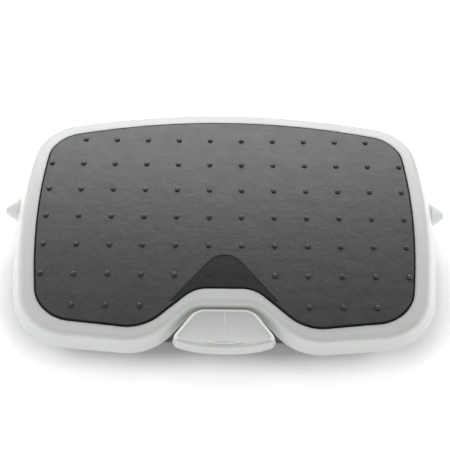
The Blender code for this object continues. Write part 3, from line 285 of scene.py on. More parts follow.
def inset(points, distance):
    result = []
    for before, here, after in zip(points[-1:] + points[:-1], points, points[1:] + points[:1]):
        first = (here - before).normalized()
        second = (after - here).normalized()
        normal = Vector((-first.y - second.y, first.x + second.x))
        result.append(here + normal * distance / (1 + first.dot(second)))
    return result


def bowed(points, back_radius):
    result = []
    for p in points:
        side = 1 - (p.y + SIDE_BOW_FRONT) ** 2 / (2 * SIDE_BOW_RADIUS * LOBE_OUTER_SIDE)
        share = max(0, (p.y + LOBE_INNER_FRONT) / (TRAY_BACK + LOBE_INNER_FRONT))
        result.append(Vector((p.x * side, p.y - p.x ** 2 / (2 * back_radius) * share)))
    return result


def circle(radius, sides):
    return [Vector((radius * math.cos(a), radius * math.sin(a)))
            for a in (2 * math.pi * i / sides for i in range(sides))]


def arc(radius, centre, start, steps):
    """Points of a half circle from the start angle on."""
    result = []
    for step in range(steps + 1):
        angle = start + math.pi * step / steps
        result.append((centre[0] + radius * math.cos(angle), centre[1] + radius * math.sin(angle)))
    return result


# Parts of the straights: back, side, lobe, the slant to the notch, and the notch's middle
PARTS = (24, 20, 8, 4, 6)


def tray_outline():
    return bowed(mirrored(rounded_half((
        (0, TRAY_BACK, 0),
        (TRAY_SIDE, TRAY_BACK, TRAY_REAR_ROUND),
        (LOBE_OUTER_SIDE, -LOBE_OUTER_FRONT, LOBE_OUTER_ROUND),
        (LOBE_INNER_SIDE, -LOBE_INNER_FRONT, LOBE_INNER_ROUND),
        (NOTCH_SIDE, -NOTCH_FRONT, NOTCH_ROUND),
        (0, -NOTCH_FRONT, 0),
    ), PARTS)), BACK_BOW_RADIUS)


def mat_outline():
    return bowed(mirrored(rounded_half((
        (0, TRAY_BACK - RIM_BACK, 0),
        (TRAY_SIDE - RIM_SIDE, TRAY_BACK - RIM_BACK, MAT_REAR_ROUND),
        (LOBE_OUTER_SIDE - RIM_LOBE_SIDE, RIM_LOBE_FRONT - LOBE_OUTER_FRONT, MAT_OUTER_ROUND),
        (LOBE_INNER_SIDE + MAT_INNER_SHIFT, RIM_FRONT - LOBE_INNER_FRONT, MAT_INNER_ROUND),
        (NOTCH_SIDE - MAT_NOTCH_SHIFT, RIM_NOTCH - NOTCH_FRONT, MAT_NOTCH_ROUND),
        (0, RIM_NOTCH - NOTCH_FRONT, 0),
    ), PARTS)), MAT_BACK_BOW_RADIUS)


# Solids

def ring(points, distance, height):
    return [(p.x, p.y, height) for p in inset(points, distance)]


def shoulder(points):
    """Rings from the top of the flared skirt over a soft shoulder to the flat rim."""
    rings = []
    for step in range(2 * ROUND + 1):
        t = step / (2 * ROUND)
        level = []
        for p, moved_in in zip(points, inset(points, GAP)):
            bend = flare_at(p) / (TRAY_SKIRT - TRAY_EDGE_ROUND) * TRAY_EDGE_ROUND
            reach = bend + math.hypot(bend, TRAY_EDGE_ROUND)
            across = 2 * t * (1 - t) * bend + t * t * reach
            level.append((*(p + (moved_in - p) * across / GAP), -(1 - t) ** 2 * TRAY_EDGE_ROUND))
        rings.append(level)
    return rings


def rounding(points, top, radius):
    """Rings over a rounded upper edge, from the wall to the top."""
    rings = []
    for step in range(ROUND + 1):
        angle = math.pi / 2 * step / ROUND
        rings.append(ring(points, radius * (1 - math.cos(angle)), top - radius * (1 - math.sin(angle))))
    return rings


def notch_share(point):
    """One at the notch's middle and nothing from the lobes outward."""
    if point.y > 0:
        return 0
    half = NOTCH_SIDE / 2
    share = min(1, max(0, (LOBE_INNER_SIDE - abs(point.x)) / (LOBE_INNER_SIDE - half)))
    return share * share * (3 - 2 * share)


def flare_at(point):
    """How far the skirt's foot stands out, which is less in the notch than round the rest."""
    return TRAY_FLARE - (TRAY_FLARE - TRAY_NOTCH_FLARE) * notch_share(point)


def skirt_ring(points, thickness, depth):
    """A ring of the flared skirt at a depth under the rim."""
    deep_share = (depth - TRAY_EDGE_ROUND) / (TRAY_SKIRT - TRAY_EDGE_ROUND)
    result = []
    for p, level, moved_in in zip(points, inset(points, thickness), inset(points, GAP)):
        result.append((*(level + (p - moved_in) * flare_at(p) * deep_share / GAP), -depth))
    return result


def loft(rings, edges=()):
    """A body skinned over its rings; the numbered bands of faces take the second finish."""
    bm = bmesh.new()
    loops = [[bm.verts.new(p) for p in each] for each in rings]
    for band, (low, high) in enumerate(zip(loops, loops[1:])):
        for i in range(len(low)):
            face = bm.faces.new((low[i - 1], low[i], high[i], high[i - 1]))
            face.material_index = 1 if band in edges else 0
    bm.faces.new(loops[0][::-1])
    bm.faces.new(loops[-1])
    bmesh.ops.recalc_face_normals(bm, faces=bm.faces)
    return bm


def prism(points, low, high):
    return loft([[(p.x, p.y, z) for p in points] for z in (low, high)])


def cross_prism(points, left, right):
    return loft([[(x, p[0], p[1]) for p in points] for x in (left, right)])


def box(low, high):
    corners = [(low[0], low[1]), (high[0], low[1]), (high[0], high[1]), (low[0], high[1])]
    return prism([Vector(c) for c in corners], low[2], high[2])


def turned(profile, sides=SIDES):
    """A body turned about Z from a closed profile of (radius, z) points."""
    bm = bmesh.new()
    loops = []
    for radius, z in profile:
        if radius:
            loops.append([bm.verts.new((p.x, p.y, z)) for p in circle(radius, sides)])
        else:
            loops.append([bm.verts.new((0, 0, z))] * sides)
    for low, high in zip(loops, loops[1:] + loops[:1]):
        for i in range(sides):
            corners = list(dict.fromkeys((low[i - 1], low[i], high[i], high[i - 1])))
            if len(corners) > 2:
                bm.faces.new(corners)
    bmesh.ops.recalc_face_normals(bm, faces=bm.faces)
    return bm


def moved(bm, matrix):
    bmesh.ops.transform(bm, matrix=matrix, verts=bm.verts)
    return bm


def along_x(bm, x, y, z, outward):
    return moved(bm, Matrix.Translation((x, y, z)) @ Matrix.Rotation(outward * math.pi / 2, 4, "Y"))


def together(*bodies):
    whole = bmesh.new()
    for body in bodies:
        mesh = bpy.data.meshes.new("work")
        body.to_mesh(mesh)
        body.free()
        whole.from_mesh(mesh)
        bpy.data.meshes.remove(mesh)
    return whole


def placed(name, bm):
    mesh = bpy.data.meshes.new(name)
    bm.to_mesh(mesh)
    bm.free()
    obj = bpy.data.objects.new(name, mesh)
    bpy.context.scene.collection.objects.link(obj)
    return obj


def applied(work, *others):
    """The body of a scratch object with its modifiers; all the scratch objects are removed."""
    evaluated = work.evaluated_get(bpy.context.evaluated_depsgraph_get())
    result = bmesh.new()
    result.from_mesh(evaluated.to_mesh())
    evaluated.to_mesh_clear()
    for obj in (work, *others):
        mesh = obj.data
        bpy.data.objects.remove(obj)
        bpy.data.meshes.remove(mesh)
    return result


def boolean(body, tool, operation):
    work, other = placed("work", body), placed("work", tool)
    modifier = work.modifiers.new("boolean", "BOOLEAN")
    modifier.operation = operation
    modifier.object = other
    return applied(work, other)


def crown_point(flat):
    angle = flat.y / CROWN_RADIUS
    reach = CROWN_RADIUS + flat.z
    return Vector((flat.x, reach * math.sin(angle) - AXLE_SETBACK,
                   reach * math.cos(angle) - CROWN_RADIUS + AXLE_DROP))


def crowned(bm):
    """Cut into narrow strips and bent over the crown, about the tilt axle."""
    count = math.ceil((TRAY_BACK + LOBE_INNER_FRONT) / STRIP)
    for i in range(1, count):
        everything = bm.verts[:] + bm.edges[:] + bm.faces[:]
        y = -LOBE_INNER_FRONT + i * STRIP
        bmesh.ops.bisect_plane(bm, geom=everything, dist=MERGE, plane_co=(0, y, 0), plane_no=(0, 1, 0))
    for v in bm.verts:
        v.co = crown_point(v.co)
    return bm


def shown(name, bm, finish, body, node, sharp=40, extra=()):
    """A piece of the dressed part, riding on its body in place of the named node."""
    obj = placed(name, bm)
    for each in (finish, *extra):
        obj.data.materials.append(each)
    obj.data.shade_smooth()
    obj.data.set_sharp_from_angle(angle=math.radians(sharp))
    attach(obj, body)
    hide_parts(node)


# Finishes

def nodes_of(name):
    made = bpy.data.materials.new(name)
    made.use_nodes = True
    tree = made.node_tree
    return made, tree, tree.nodes["Principled BSDF"]


def noise(tree, vector, scale, detail, roughness):
    node = tree.nodes.new("ShaderNodeTexNoise")
    node.inputs["Scale"].default_value = scale
    node.inputs["Detail"].default_value = detail
    node.inputs["Roughness"].default_value = roughness
    tree.links.new(vector, node.inputs["Vector"])
    return node.outputs["Fac"]


def stretched(tree, place, scale):
    node = tree.nodes.new("ShaderNodeMapping")
    node.inputs["Scale"].default_value = scale
    tree.links.new(place, node.inputs["Vector"])
    return node.outputs["Vector"]


def shaded(colour, share):
    return tuple(min(1, c * share) for c in colour)


def stepped(tree, fac, stops):
    """Blends through (position, value or colour) stops as the factor rises."""
    node = tree.nodes.new("ShaderNodeValToRGB")
    steps = node.color_ramp.elements
    for (position, level), step in zip((stops[0], stops[-1]), steps):
        step.position = position
        step.color = (*level, 1) if isinstance(level, tuple) else (level, level, level, 1)
    for position, level in stops[1:-1]:
        steps.new(position).color = (level, level, level, 1)
    tree.links.new(fac, node.inputs["Fac"])
    return node.outputs["Color"]


def ramp(tree, fac, low, high, start=0.3, end=0.7):
    return stepped(tree, fac, ((start, low), (end, high)))


def bump(tree, shader, height, distance, strength, under=None):
    node = tree.nodes.new("ShaderNodeBump")
    node.inputs["Distance"].default_value = distance
    node.inputs["Strength"].default_value = strength
    tree.links.new(height, node.inputs["Height"])
    if under:
        tree.links.new(under, node.inputs["Normal"])
    tree.links.new(node.outputs["Normal"], shader.inputs["Normal"])
    return node.outputs["Normal"]


def moulded(name, colour, variation, roughness, grain=2600, depth=0.00004, specular=0.5, gloss=0.0):
    """Moulded plastic or rubber with a fine spark-eroded grain and slightly uneven sheen."""
    made, tree, shader = nodes_of(name)
    place = tree.nodes.new("ShaderNodeTexCoord").outputs["Object"]
    broad = noise(tree, place, scale=9, detail=3, roughness=0.5)
    darker, lighter = shaded(colour, 1 - variation), shaded(colour, 1 + variation)
    tree.links.new(ramp(tree, broad, darker, lighter, start=0.35, end=0.65), shader.inputs["Base Color"])
    uneven = noise(tree, place, scale=60, detail=4, roughness=0.6)
    tree.links.new(ramp(tree, uneven, roughness * 0.9, min(1, roughness * 1.1)), shader.inputs["Roughness"])
    shader.inputs["Specular IOR Level"].default_value = specular
    shader.inputs["Coat Weight"].default_value = gloss
    shader.inputs["Coat Roughness"].default_value = 0.14
    fine = noise(tree, place, scale=grain, detail=2, roughness=0.6)
    bump(tree, shader, fine, distance=depth, strength=0.35)
    return made


def metal(name, colour, roughness, stretch=(1, 1, 1)):
    """Drawn or plated steel with fine marks along the draw."""
    made, tree, shader = nodes_of(name)
    place = tree.nodes.new("ShaderNodeTexCoord").outputs["Object"]
    marks = noise(tree, stretched(tree, place, stretch), scale=900, detail=3, roughness=0.6)
    tree.links.new(ramp(tree, marks, shaded(colour, 0.9), colour), shader.inputs["Base Color"])
    tree.links.new(ramp(tree, marks, roughness * 0.8, roughness * 1.2), shader.inputs["Roughness"])
    shader.inputs["Metallic"].default_value = 1.0
    bump(tree, shader, marks, distance=0.00003, strength=0.25)
    return made


def mat_finish(name, colour, roughness, specular):
    """Matte rubber sheet: a pebbled grain, faint streaks across and an uneven sheen."""
    made, tree, shader = nodes_of(name)
    place = tree.nodes.new("ShaderNodeTexCoord").outputs["Object"]
    cells = tree.nodes.new("ShaderNodeTexVoronoi")
    cells.inputs["Scale"].default_value = 750
    tree.links.new(place, cells.inputs["Vector"])
    streak = noise(tree, stretched(tree, place, (14, 90, 14)), scale=1, detail=5, roughness=0.65)
    tree.links.new(ramp(tree, streak, shaded(colour, 0.8), shaded(colour, 1.2)), shader.inputs["Base Color"])
    cloud = noise(tree, place, scale=55, detail=6, roughness=0.7)
    tree.links.new(ramp(tree, cloud, roughness * 0.9, min(1, roughness * 1.12)), shader.inputs["Roughness"])
    shader.inputs["Specular IOR Level"].default_value = specular
    pebbles = bump(tree, shader, cells.outputs["Distance"], distance=0.00018, strength=0.35)
    bump(tree, shader, cloud, distance=0.0022, strength=0.4, under=pebbles)
    return made


GREY = moulded("grey_plastic", (0.60, 0.62, 0.595), 0.012, 0.40, gloss=0.35)
# Near-white glossy grey on fillets, beads, seams and lips: a painted highlight where those edges catch the
# light
PAINTED_HIGHLIGHT = moulded("grey_painted_highlight", (0.96, 0.97, 0.95), 0.01, 0.24, gloss=0.6)
CHARCOAL = moulded("charcoal_plastic", (0.11, 0.115, 0.11), 0.05, 0.5)
BLACK = moulded("black_plastic", (0.045, 0.045, 0.05), 0.06, 0.5)
NYLON = moulded("white_nylon", (0.78, 0.77, 0.72), 0.01, 0.38)
RUBBER = moulded("foot_rubber", (0.02, 0.02, 0.02), 0.1, 0.8, grain=1800, depth=0.0001)
MAT = mat_finish("mat_rubber", (0.029, 0.029, 0.031), 0.46, 0.9)
# Smoother rubber for the sunk patch; its darker colour also stands in for the shade of a patch sloping down
# to the front
PATCH = mat_finish("mat_patch", (0.013, 0.013, 0.014), 0.48, 0.45)
# Glossier rubber for the nub tops; its darker colour is also painted shade on the nubs
MAT_NUB = mat_finish("mat_nub", (0.016, 0.016, 0.017), 0.36, 0.9)
# Near-black rubber: painted shade on the mat's edge, a line just inside it and the nubs' sides
MAT_PAINTED_SHADE = mat_finish("mat_painted_shade", (0.008, 0.008, 0.008), 0.75, 0.2)
STEEL = metal("steel", (0.58, 0.58, 0.6), 0.3, stretch=(0.1, 1, 1))
ZINC = metal("zinc_steel", (0.66, 0.66, 0.62), 0.4)
FINISHES = {m.name: m for m in (GREY, CHARCOAL, BLACK, NYLON, RUBBER, MAT, STEEL, ZINC)}
SLOTS = {s["node"]: s["material_slot"] for s in frame["record"]["subparts"]}
BODIES = {node: body for body, members in frame["record"]["behaviour"]["bodies"].items() for node in members}
NODES = list(frame["nodes"])


# Platform

def build_tray():
    outer, recess, lip = tray_outline(), mat_outline(), TRAY_LIP
    rings = [
        ring(outer, 2 * TRAY_WALL, -TRAY_PLATE),
        skirt_ring(outer, TRAY_WALL, TRAY_PLATE + TRAY_WALL),
        skirt_ring(outer, TRAY_WALL, TRAY_SKIRT - lip),
        skirt_ring(outer, TRAY_WALL - lip, TRAY_SKIRT),
        skirt_ring(outer, lip, TRAY_SKIRT),
        skirt_ring(outer, 0, TRAY_SKIRT - lip),
        *shoulder(outer),
    ]
    flat, edge = [Vector(p[:2]) for p in rings[-1]], inset(recess, -lip)
    for share in (1 / 3, 2 / 3, 1):
        rings.append([(*a.lerp(b, share), 0) for a, b in zip(flat, edge)])
    rings += [
        ring(recess, -lip / 3, -lip / 3),
        ring(recess, 0, -lip),
        ring(recess, 0, -MAT_RECESS),
        ring(recess, 4 * lip, -MAT_RECESS),
    ]
    # The recess lip's two rounded bands take the painted highlight, a bright line round the mat
    lip_band = len(rings) - 5
    body = crowned(loft(rings, (lip_band, lip_band + 1)))
    ribs = []
    half = TRAY_RIB_THICKNESS / 2
    for x in TRAY_RIB_SIDES:
        for middle in (-x, x):
            low = (middle - half, -TRAY_RIB_FRONT, -TRAY_PLATE - TRAY_RIB_DEPTH)
            ribs.append(box(low, (middle + half, TRAY_RIB_BACK, -TRAY_PLATE / 2)))
    lugs = []
    root = AXLE_DROP - TRAY_PLATE
    profile = [(LUG_HALF_ROOT, root), (-LUG_HALF_ROOT, root), *arc(LUG_ROUND, (0, 0), math.pi, 2 * ARC)]
    hole = [(p.x, p.y) for p in circle(BUSH_RADIUS + GAP, SIDES)]
    for side in (-1, 1):
        low, high = sorted((side * LUG_INNER_SIDE, side * (LUG_INNER_SIDE + LUG_THICKNESS)))
        lug = cross_prism(profile, low, high)
        lugs.append(boolean(lug, cross_prism(hole, low - GAP, high + GAP), "DIFFERENCE"))
    body = together(body, crowned(together(*ribs)), *lugs)
    shown("platform_tray", moved(body, TILTED), GREY, "platform", "tray", extra=(PAINTED_HIGHLIGHT,))


def off_outline(point, outline):
    """How far a point is from an outline."""
    nearest = math.inf
    for start, end in zip(outline, outline[1:] + outline[:1]):
        run = end - start
        share = max(0, min(1, (point - start).dot(run) / max(run.length_squared, 1e-18)))
        nearest = min(nearest, (point - start - share * run).length)
    return nearest


def dome(foot):
    """Profile of a nub from its foot in the mat up."""
    profile = [(0, foot), (NUB_RADIUS, foot)]
    for step in range(ROUND + 1):
        angle = math.pi / 2 * step / ROUND
        profile.append((NUB_RADIUS * math.cos(angle), MAT_PROUD + NUB_LIFT + NUB_HEIGHT * math.sin(angle)))
    profile[-1] = (0, profile[-1][1])
    return profile


def build_mat():
    outline = inset(mat_outline(), MAT_CLEARANCE)
    flange = GAP - MAT_CLEARANCE
    body = loft([
        ring(outline, flange, GAP - MAT_RECESS),
        ring(outline, flange, 2 * GAP - MAT_RECESS),
        ring(outline, 0, 2 * GAP - MAT_RECESS),
        *rounding(outline, MAT_PROUD, MAT_EDGE),
        ring(outline, MAT_EDGE + MAT_SHADE_LINE, MAT_PROUD),
    ])
    slope = (NOTCH_FRONT - RIM_NOTCH - PATCH_PEAK_FRONT) / (NOTCH_SIDE + RIM_NOTCH / 2)
    foot = PATCH_PEAK_FRONT + slope * PATCH_SIDE
    corners = [(-PATCH_SIDE, -foot, 0), (0, -PATCH_PEAK_FRONT, PATCH_ROUND), (PATCH_SIDE, -foot, 0)]
    patch = boolean(
        prism(rounded_half(corners, (1, 1)), MAT_PROUD - PATCH_DEPTH, MAT_PROUD + 2 * CUTTER),
        prism(inset(mat_outline(), PATCH_MARGIN), MAT_PROUD - 2 * CUTTER, MAT_PROUD + CUTTER),
        "INTERSECT",
    )
    body = boolean(body, patch, "DIFFERENCE")
    # The mat's underside, its rounded edge and a thin line inside it take painted shade, for the dark gap
    # round the mat; the sunk patch takes its own finish
    for face in body.faces:
        x, y, height = face.calc_center_median()
        sunk = abs(height - MAT_PROUD + PATCH_DEPTH) < PATCH_DEPTH / 4
        if height < 0 or off_outline(Vector((x, y)), outline) < MAT_EDGE + SHADE_LINE_SHARE * MAT_SHADE_LINE:
            face.material_index = 2
        else:
            face.material_index = 1 if sunk and face.normal.z > FACES_UP else 0
    body = crowned(body)
    profile = dome(MAT_PROUD - MAT_EDGE)
    nubs = []
    for row, first, last in NUB_RUNS:
        for column in range(first, last + 1):
            x = (column - (NUB_COLUMNS + 1) / 2) * NUB_PITCH
            y = (NUB_MIDDLE_ROW - row) * NUB_PITCH - NUB_FORWARD
            nubs.append(moved(turned(profile, NUB_SIDES), Matrix.Translation((x, y, 0))))
    domes = together(*nubs)
    # The nubs' steep sides take painted shade; their tops take the nub rubber
    for face in domes.faces:
        face.material_index = 2 if face.normal.z < NUB_SHADE_UP else 3
    for v in domes.verts:
        v.co = crown_point(v.co)
    whole = moved(together(body, domes), TILTED)
    shown("platform_mat", whole, MAT, "platform", "mat", sharp=55, extra=(PATCH, MAT_PAINTED_SHADE, MAT_NUB))


# Pedal

def pedal_top(front):
    return PEDAL_BACK_HEIGHT - (front - PEDAL_BACK) * PEDAL_SLOPE


def sloped(points, distance, below):
    return [(p.x, p.y, pedal_top(-p.y) - below) for p in inset(points, distance)]


def build_pedal():
    outline = mirrored(rounded_half((
        (0, -PEDAL_BACK, 0),
        (PEDAL_BACK_SIDE, -PEDAL_BACK, PEDAL_BACK_ROUND),
        (PEDAL_SIDE, -PEDAL_SIDE_FRONT, PEDAL_SIDE_ROUND),
        (PEDAL_NOSE_SIDE, -PEDAL_NOSE_FRONT, PEDAL_NOSE_ROUND),
        (0, -PEDAL_FRONT, 0),
    ), (4, 6, 2, 2)))
    lip = PEDAL_LIP
    rings = [
        sloped(outline, PEDAL_WALL, PEDAL_PLATE),
        sloped(outline, PEDAL_WALL - PEDAL_FLARE, PEDAL_DEPTH - lip),
        sloped(outline, PEDAL_WALL - PEDAL_FLARE - lip, PEDAL_DEPTH),
        sloped(outline, lip - PEDAL_FLARE, PEDAL_DEPTH),
        sloped(outline, -PEDAL_FLARE, PEDAL_DEPTH - lip),
    ]
    for step in range(ROUND + 1):
        angle = math.pi / 2 * step / ROUND
        distance = PEDAL_EDGE_ROUND * (1 - math.cos(angle))
        rings.append(sloped(outline, distance, PEDAL_EDGE_ROUND * (1 - math.sin(angle))))
    rings.append(sloped(outline, PEDAL_EDGE_ROUND + PEDAL_BEAD, 0))
    rings.append(sloped(outline, PEDAL_EDGE_ROUND + BEAD_REACH * PEDAL_BEAD, BEAD_DROP * PEDAL_BEAD))
    # The pedal's side wall, rounded top edge and bead take the painted highlight; the front keeps plain grey
    shell = loft(rings, range(4, 6 + ROUND))
    for face in shell.faces:
        if face.calc_center_median().y < -PEDAL_SIDE_FRONT:
            face.material_index = 0
    parts = [shell]
    seam_ends = (PEDAL_BACK + PEDAL_EDGE_ROUND, *SEAM_BREAK, RIDGE_FRONT - 2 * RIDGE_ARCH)
    for start, end in (seam_ends[:2], seam_ends[2:]):
        line = [(-SEAM, -start), (SEAM, -start), (SEAM, -end), (-SEAM, -end)]
        seam = loft([[(x, y, pedal_top(-y) + rise) for x, y in line] for rise in (-SEAM, SEAM / 2)])
        for face in seam.faces:
            # The seam beads take the painted highlight
            face.material_index = 1
        parts.append(seam)
    lens = []
    for bulge, way in ((RIDGE_SAG, 1), (-RIDGE_ARCH, -1)):
        for step in range(-ARC, ARC):
            share = way * step / ARC
            lens.append(Vector((RIDGE_SIDE * share, -RIDGE_FRONT - bulge * (1 - share ** 2))))
    middle = Vector((0, -RIDGE_FRONT + (RIDGE_ARCH - RIDGE_SAG) / 2))
    levels = [(1, -PEDAL_PLATE / 2), (1, RIDGE_FOOT)]
    levels += [(size, rise * RIDGE_HEIGHT) for size, rise in RIDGE_SHARES]
    ridge = []
    for size, height in levels:
        ridge.append([(q.x, q.y, pedal_top(-q.y) + height) for q in (middle.lerp(p, size) for p in lens)])
    # The ridge's flanks take the painted highlight
    parts.append(loft(ridge, (1, 2)))
    half = PEDAL_ARM_THICKNESS / 2
    arm = [(-f, pedal_top(f) - PEDAL_PLATE / 2 if h is None else h) for f, h in PEDAL_ARM_POINTS]
    fork = [(-HINGE_FRONT - FORK_HALF, HINGE_HEIGHT), (FORK_HALF - HINGE_FRONT, HINGE_HEIGHT)]
    fork += arc(FORK_HALF, (-HINGE_FRONT, FORK_HEIGHT), 0, ARC)
    for side in (-1, 1):
        parts.append(cross_prism(arm, side * PEDAL_ARM_SIDE - half, side * PEDAL_ARM_SIDE + half))
        parts.append(cross_prism(fork, *sorted((side * FORK_INNER, side * (FORK_INNER + FORK_THICKNESS)))))
    reach = PEDAL_ARM_SIDE + half
    hole, outer = PEDAL_PIN_RADIUS + PIN_PLAY, PEDAL_BARREL_RADIUS
    barrel = turned(((hole, 0), (outer, 0), (outer, 2 * reach), (hole, 2 * reach)))
    parts.append(along_x(barrel, -reach, -HINGE_FRONT, HINGE_HEIGHT, 1))
    shown("toe_pedal", moved(together(*parts), PLACE), GREY, "pedal", "foot_pedal", extra=(PAINTED_HIGHLIGHT,))


# Caps on the axle ends

def eased_corners(points, reach):
    """The same open profile with its inner corners rounded by short curves."""
    result = [points[0]]
    for before, here, after in zip(points, points[1:], points[2:]):
        a, b, c = Vector(before), Vector(here), Vector(after)
        start = b + (a - b) * min(0.45, reach / (a - b).length)
        end = b + (c - b) * min(0.45, reach / (c - b).length)
        for step in range(ROUND + 1):
            t = step / ROUND
            result.append(tuple(start.lerp(b, t).lerp(b.lerp(end, t), t)))
    return result + [points[-1]]


def build_caps():
    sharp = [(CAP_RADIUS * across, CAP_LENGTH * along) for across, along in CAP_SHARES]
    profile = [(0, 0)] + eased_corners(sharp, CAP_EASE)
    for side, word in ((-1, "left"), (1, "right")):
        cap = along_x(turned(profile), side * CAP_INNER_SIDE, AXLE_BACK + SHIFT, AXLE_HEIGHT, side)
        shown("end_cap_" + word, cap, GREY, "lift_frame", "side_cap_" + word)


# Frame, fittings and springs; their places come from the part's own solids

def span(node):
    low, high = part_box(node)
    return Vector(low), Vector(high), (Vector(low) + Vector(high)) / 2


def upright(node):
    """Radius and height of a node that stands."""
    low, high, _ = span(node)
    return (high.x - low.x) / 2, high.z - low.z


def level(node):
    """Radius and length of a node that lies across."""
    low, high, _ = span(node)
    return (high.z - low.z) / 2, high.x - low.x


def fitted(node, bm, sharp=40):
    """A finer piece in place of one node, in that node's finish and on its body."""
    shown("fine_" + node, bm, FINISHES[SLOTS[node]], BODIES[node], node, sharp=sharp)


def standing(node, profile, sides=SIDES):
    """A turned piece on the upright axis of a node; heights count from its lowest point."""
    low, _, middle = span(node)
    fitted(node, moved(turned(profile, sides), Matrix.Translation((middle.x, middle.y, low.z))))


def lying(node, profile):
    """A turned piece on the level axis of a node; its length counts from the inner end outward."""
    low, high, middle = span(node)
    side = 1 if middle.x > 0 else -1
    fitted(node, along_x(turned(profile), low.x if side > 0 else high.x, middle.y, middle.z, side))


def rod(radius, length, ease):
    """Profile of a plain rod with eased ends."""
    cut = 0.3 * ease
    return [
        (0, 0), (radius - ease, 0), (radius - cut, cut), (radius, ease),
        (radius, length - ease), (radius - cut, length - cut), (radius - ease, length), (0, length),
    ]


def collar(inner, outer, length, ease):
    """Profile of a ring with eased rims."""
    cut = 0.3 * ease
    return [
        (inner, ease), (inner + ease, 0), (outer - ease, 0), (outer - cut, cut), (outer, ease),
        (outer, length - ease), (outer - cut, length - cut), (outer - ease, length),
        (inner + ease, length), (inner, length - ease),
    ]


def build_feet():
    for name in [n for n in NODES if n.startswith("foot_") and n != "foot_pedal"]:
        radius, height = upright(name)
        profile = [(0, 0)]
        for share in FOOT_GROOVES:
            profile += [(radius * share + across, up) for across, up in FOOT_GROOVE]
        profile += [(radius + across, up) for across, up in FOOT_EDGE]
        standing(name, profile + [(radius, height), (0, height)])


def build_towers():
    for word in ("left", "right"):
        name = "guide_tower_" + word
        low, _, middle = span(name)
        radius, top = upright(name)
        foot, ledge, ease = FLANGE_LOW - low.z, FLANGE_HIGH - low.z, TOWER_EASE
        body = moved(turned([
            (0, 0), (TOWER_OUTER - ease, 0), (TOWER_OUTER, ease), (TOWER_OUTER, foot),
            (radius - ease, foot), (radius, foot + ease), (radius, ledge - ease), (radius - ease, ledge),
            (TOWER_OUTER + 2 * ease, ledge), (TOWER_OUTER + 0.5 * ease, ledge + 0.5 * ease),
            (TOWER_OUTER, ledge + 2 * ease),
            (TOWER_OUTER, top - ease), (TOWER_OUTER - ease, top), (TOWER_INNER + 2 * ease, top),
            (TOWER_INNER, top - 2 * ease), (TOWER_INNER, TOWER_FLOOR), (0, TOWER_FLOOR),
        ], TUBE_SIDES), Matrix.Translation((middle.x, middle.y, low.z)))
        root, base = TOWER_OUTER - GUSSET_HALF, FLANGE_HIGH - GAP
        gusset = ((root, base), (radius - GUSSET_FOOT, base), (root, base + GUSSET_HEIGHT))
        for number in (1, 2, 3):
            place = span(f"tower_screw_{word}_{number}")[2].xy
            hole = [place + p for p in circle(SCREW_SHANK + GAP, SCREW_SIDES)]
            body = boolean(body, prism(hole, FLANGE_LOW - GAP, FLANGE_HIGH + GAP), "DIFFERENCE")
            away = (middle.xy - place).normalized()
            across = Vector((-away.y, away.x)) * GUSSET_HALF
            sides = []
            for face in (middle.xy - across, middle.xy + across):
                sides.append([(*(face + away * reach), z) for reach, z in gusset])
            body = together(body, loft(sides))
        fitted(name, body)


def screw_body(length):
    """A pan-head screw with a cross recess; its head's underside is at zero."""
    rim, head = SCREW_HEAD * SCREW_FLAT, SCREW_HEAD_RADIUS
    profile = [
        (0, -length), (SCREW_SHANK / 2, -length), (SCREW_SHANK, SCREW_POINT - length),
        (SCREW_SHANK, 0), (head, 0),
    ]
    for step in range(ROUND + 1):
        angle = math.pi / 2 * step / ROUND
        across = head * (SCREW_FLAT + (1 - SCREW_FLAT) * math.cos(angle))
        profile.append((across, rim + (SCREW_HEAD - rim) * math.sin(angle)))
    body = turned(profile + [(0, SCREW_HEAD)], SMALL_SIDES)
    levels = ((RECESS_TAPER, SCREW_HEAD * RECESS_FLOOR), (1, SCREW_HEAD + GAP))
    for wide, deep in ((RECESS_REACH, RECESS_HALF), (RECESS_HALF, RECESS_REACH)):
        corners = ((-wide, -deep), (wide, -deep), (wide, deep), (-wide, deep))
        slot = loft([[(x * size, y * size, z) for x, y in corners] for size, z in levels])
        body = boolean(body, slot, "DIFFERENCE")
    return body


def build_screws():
    for name in [n for n in NODES if "screw" in n]:
        low, high, middle = span(name)
        if name.startswith("beam"):
            side = 1 if middle.x > 0 else -1
            seat = low.x + SCREW_HEAD if side > 0 else high.x - SCREW_HEAD
            length = high.x - low.x - SCREW_HEAD
            fitted(name, along_x(screw_body(length), seat, middle.y, middle.z, -side))
        else:
            length = high.z - low.z - SCREW_HEAD
            fitted(name, moved(screw_body(length), Matrix.Translation((middle.x, middle.y, low.z + length))))


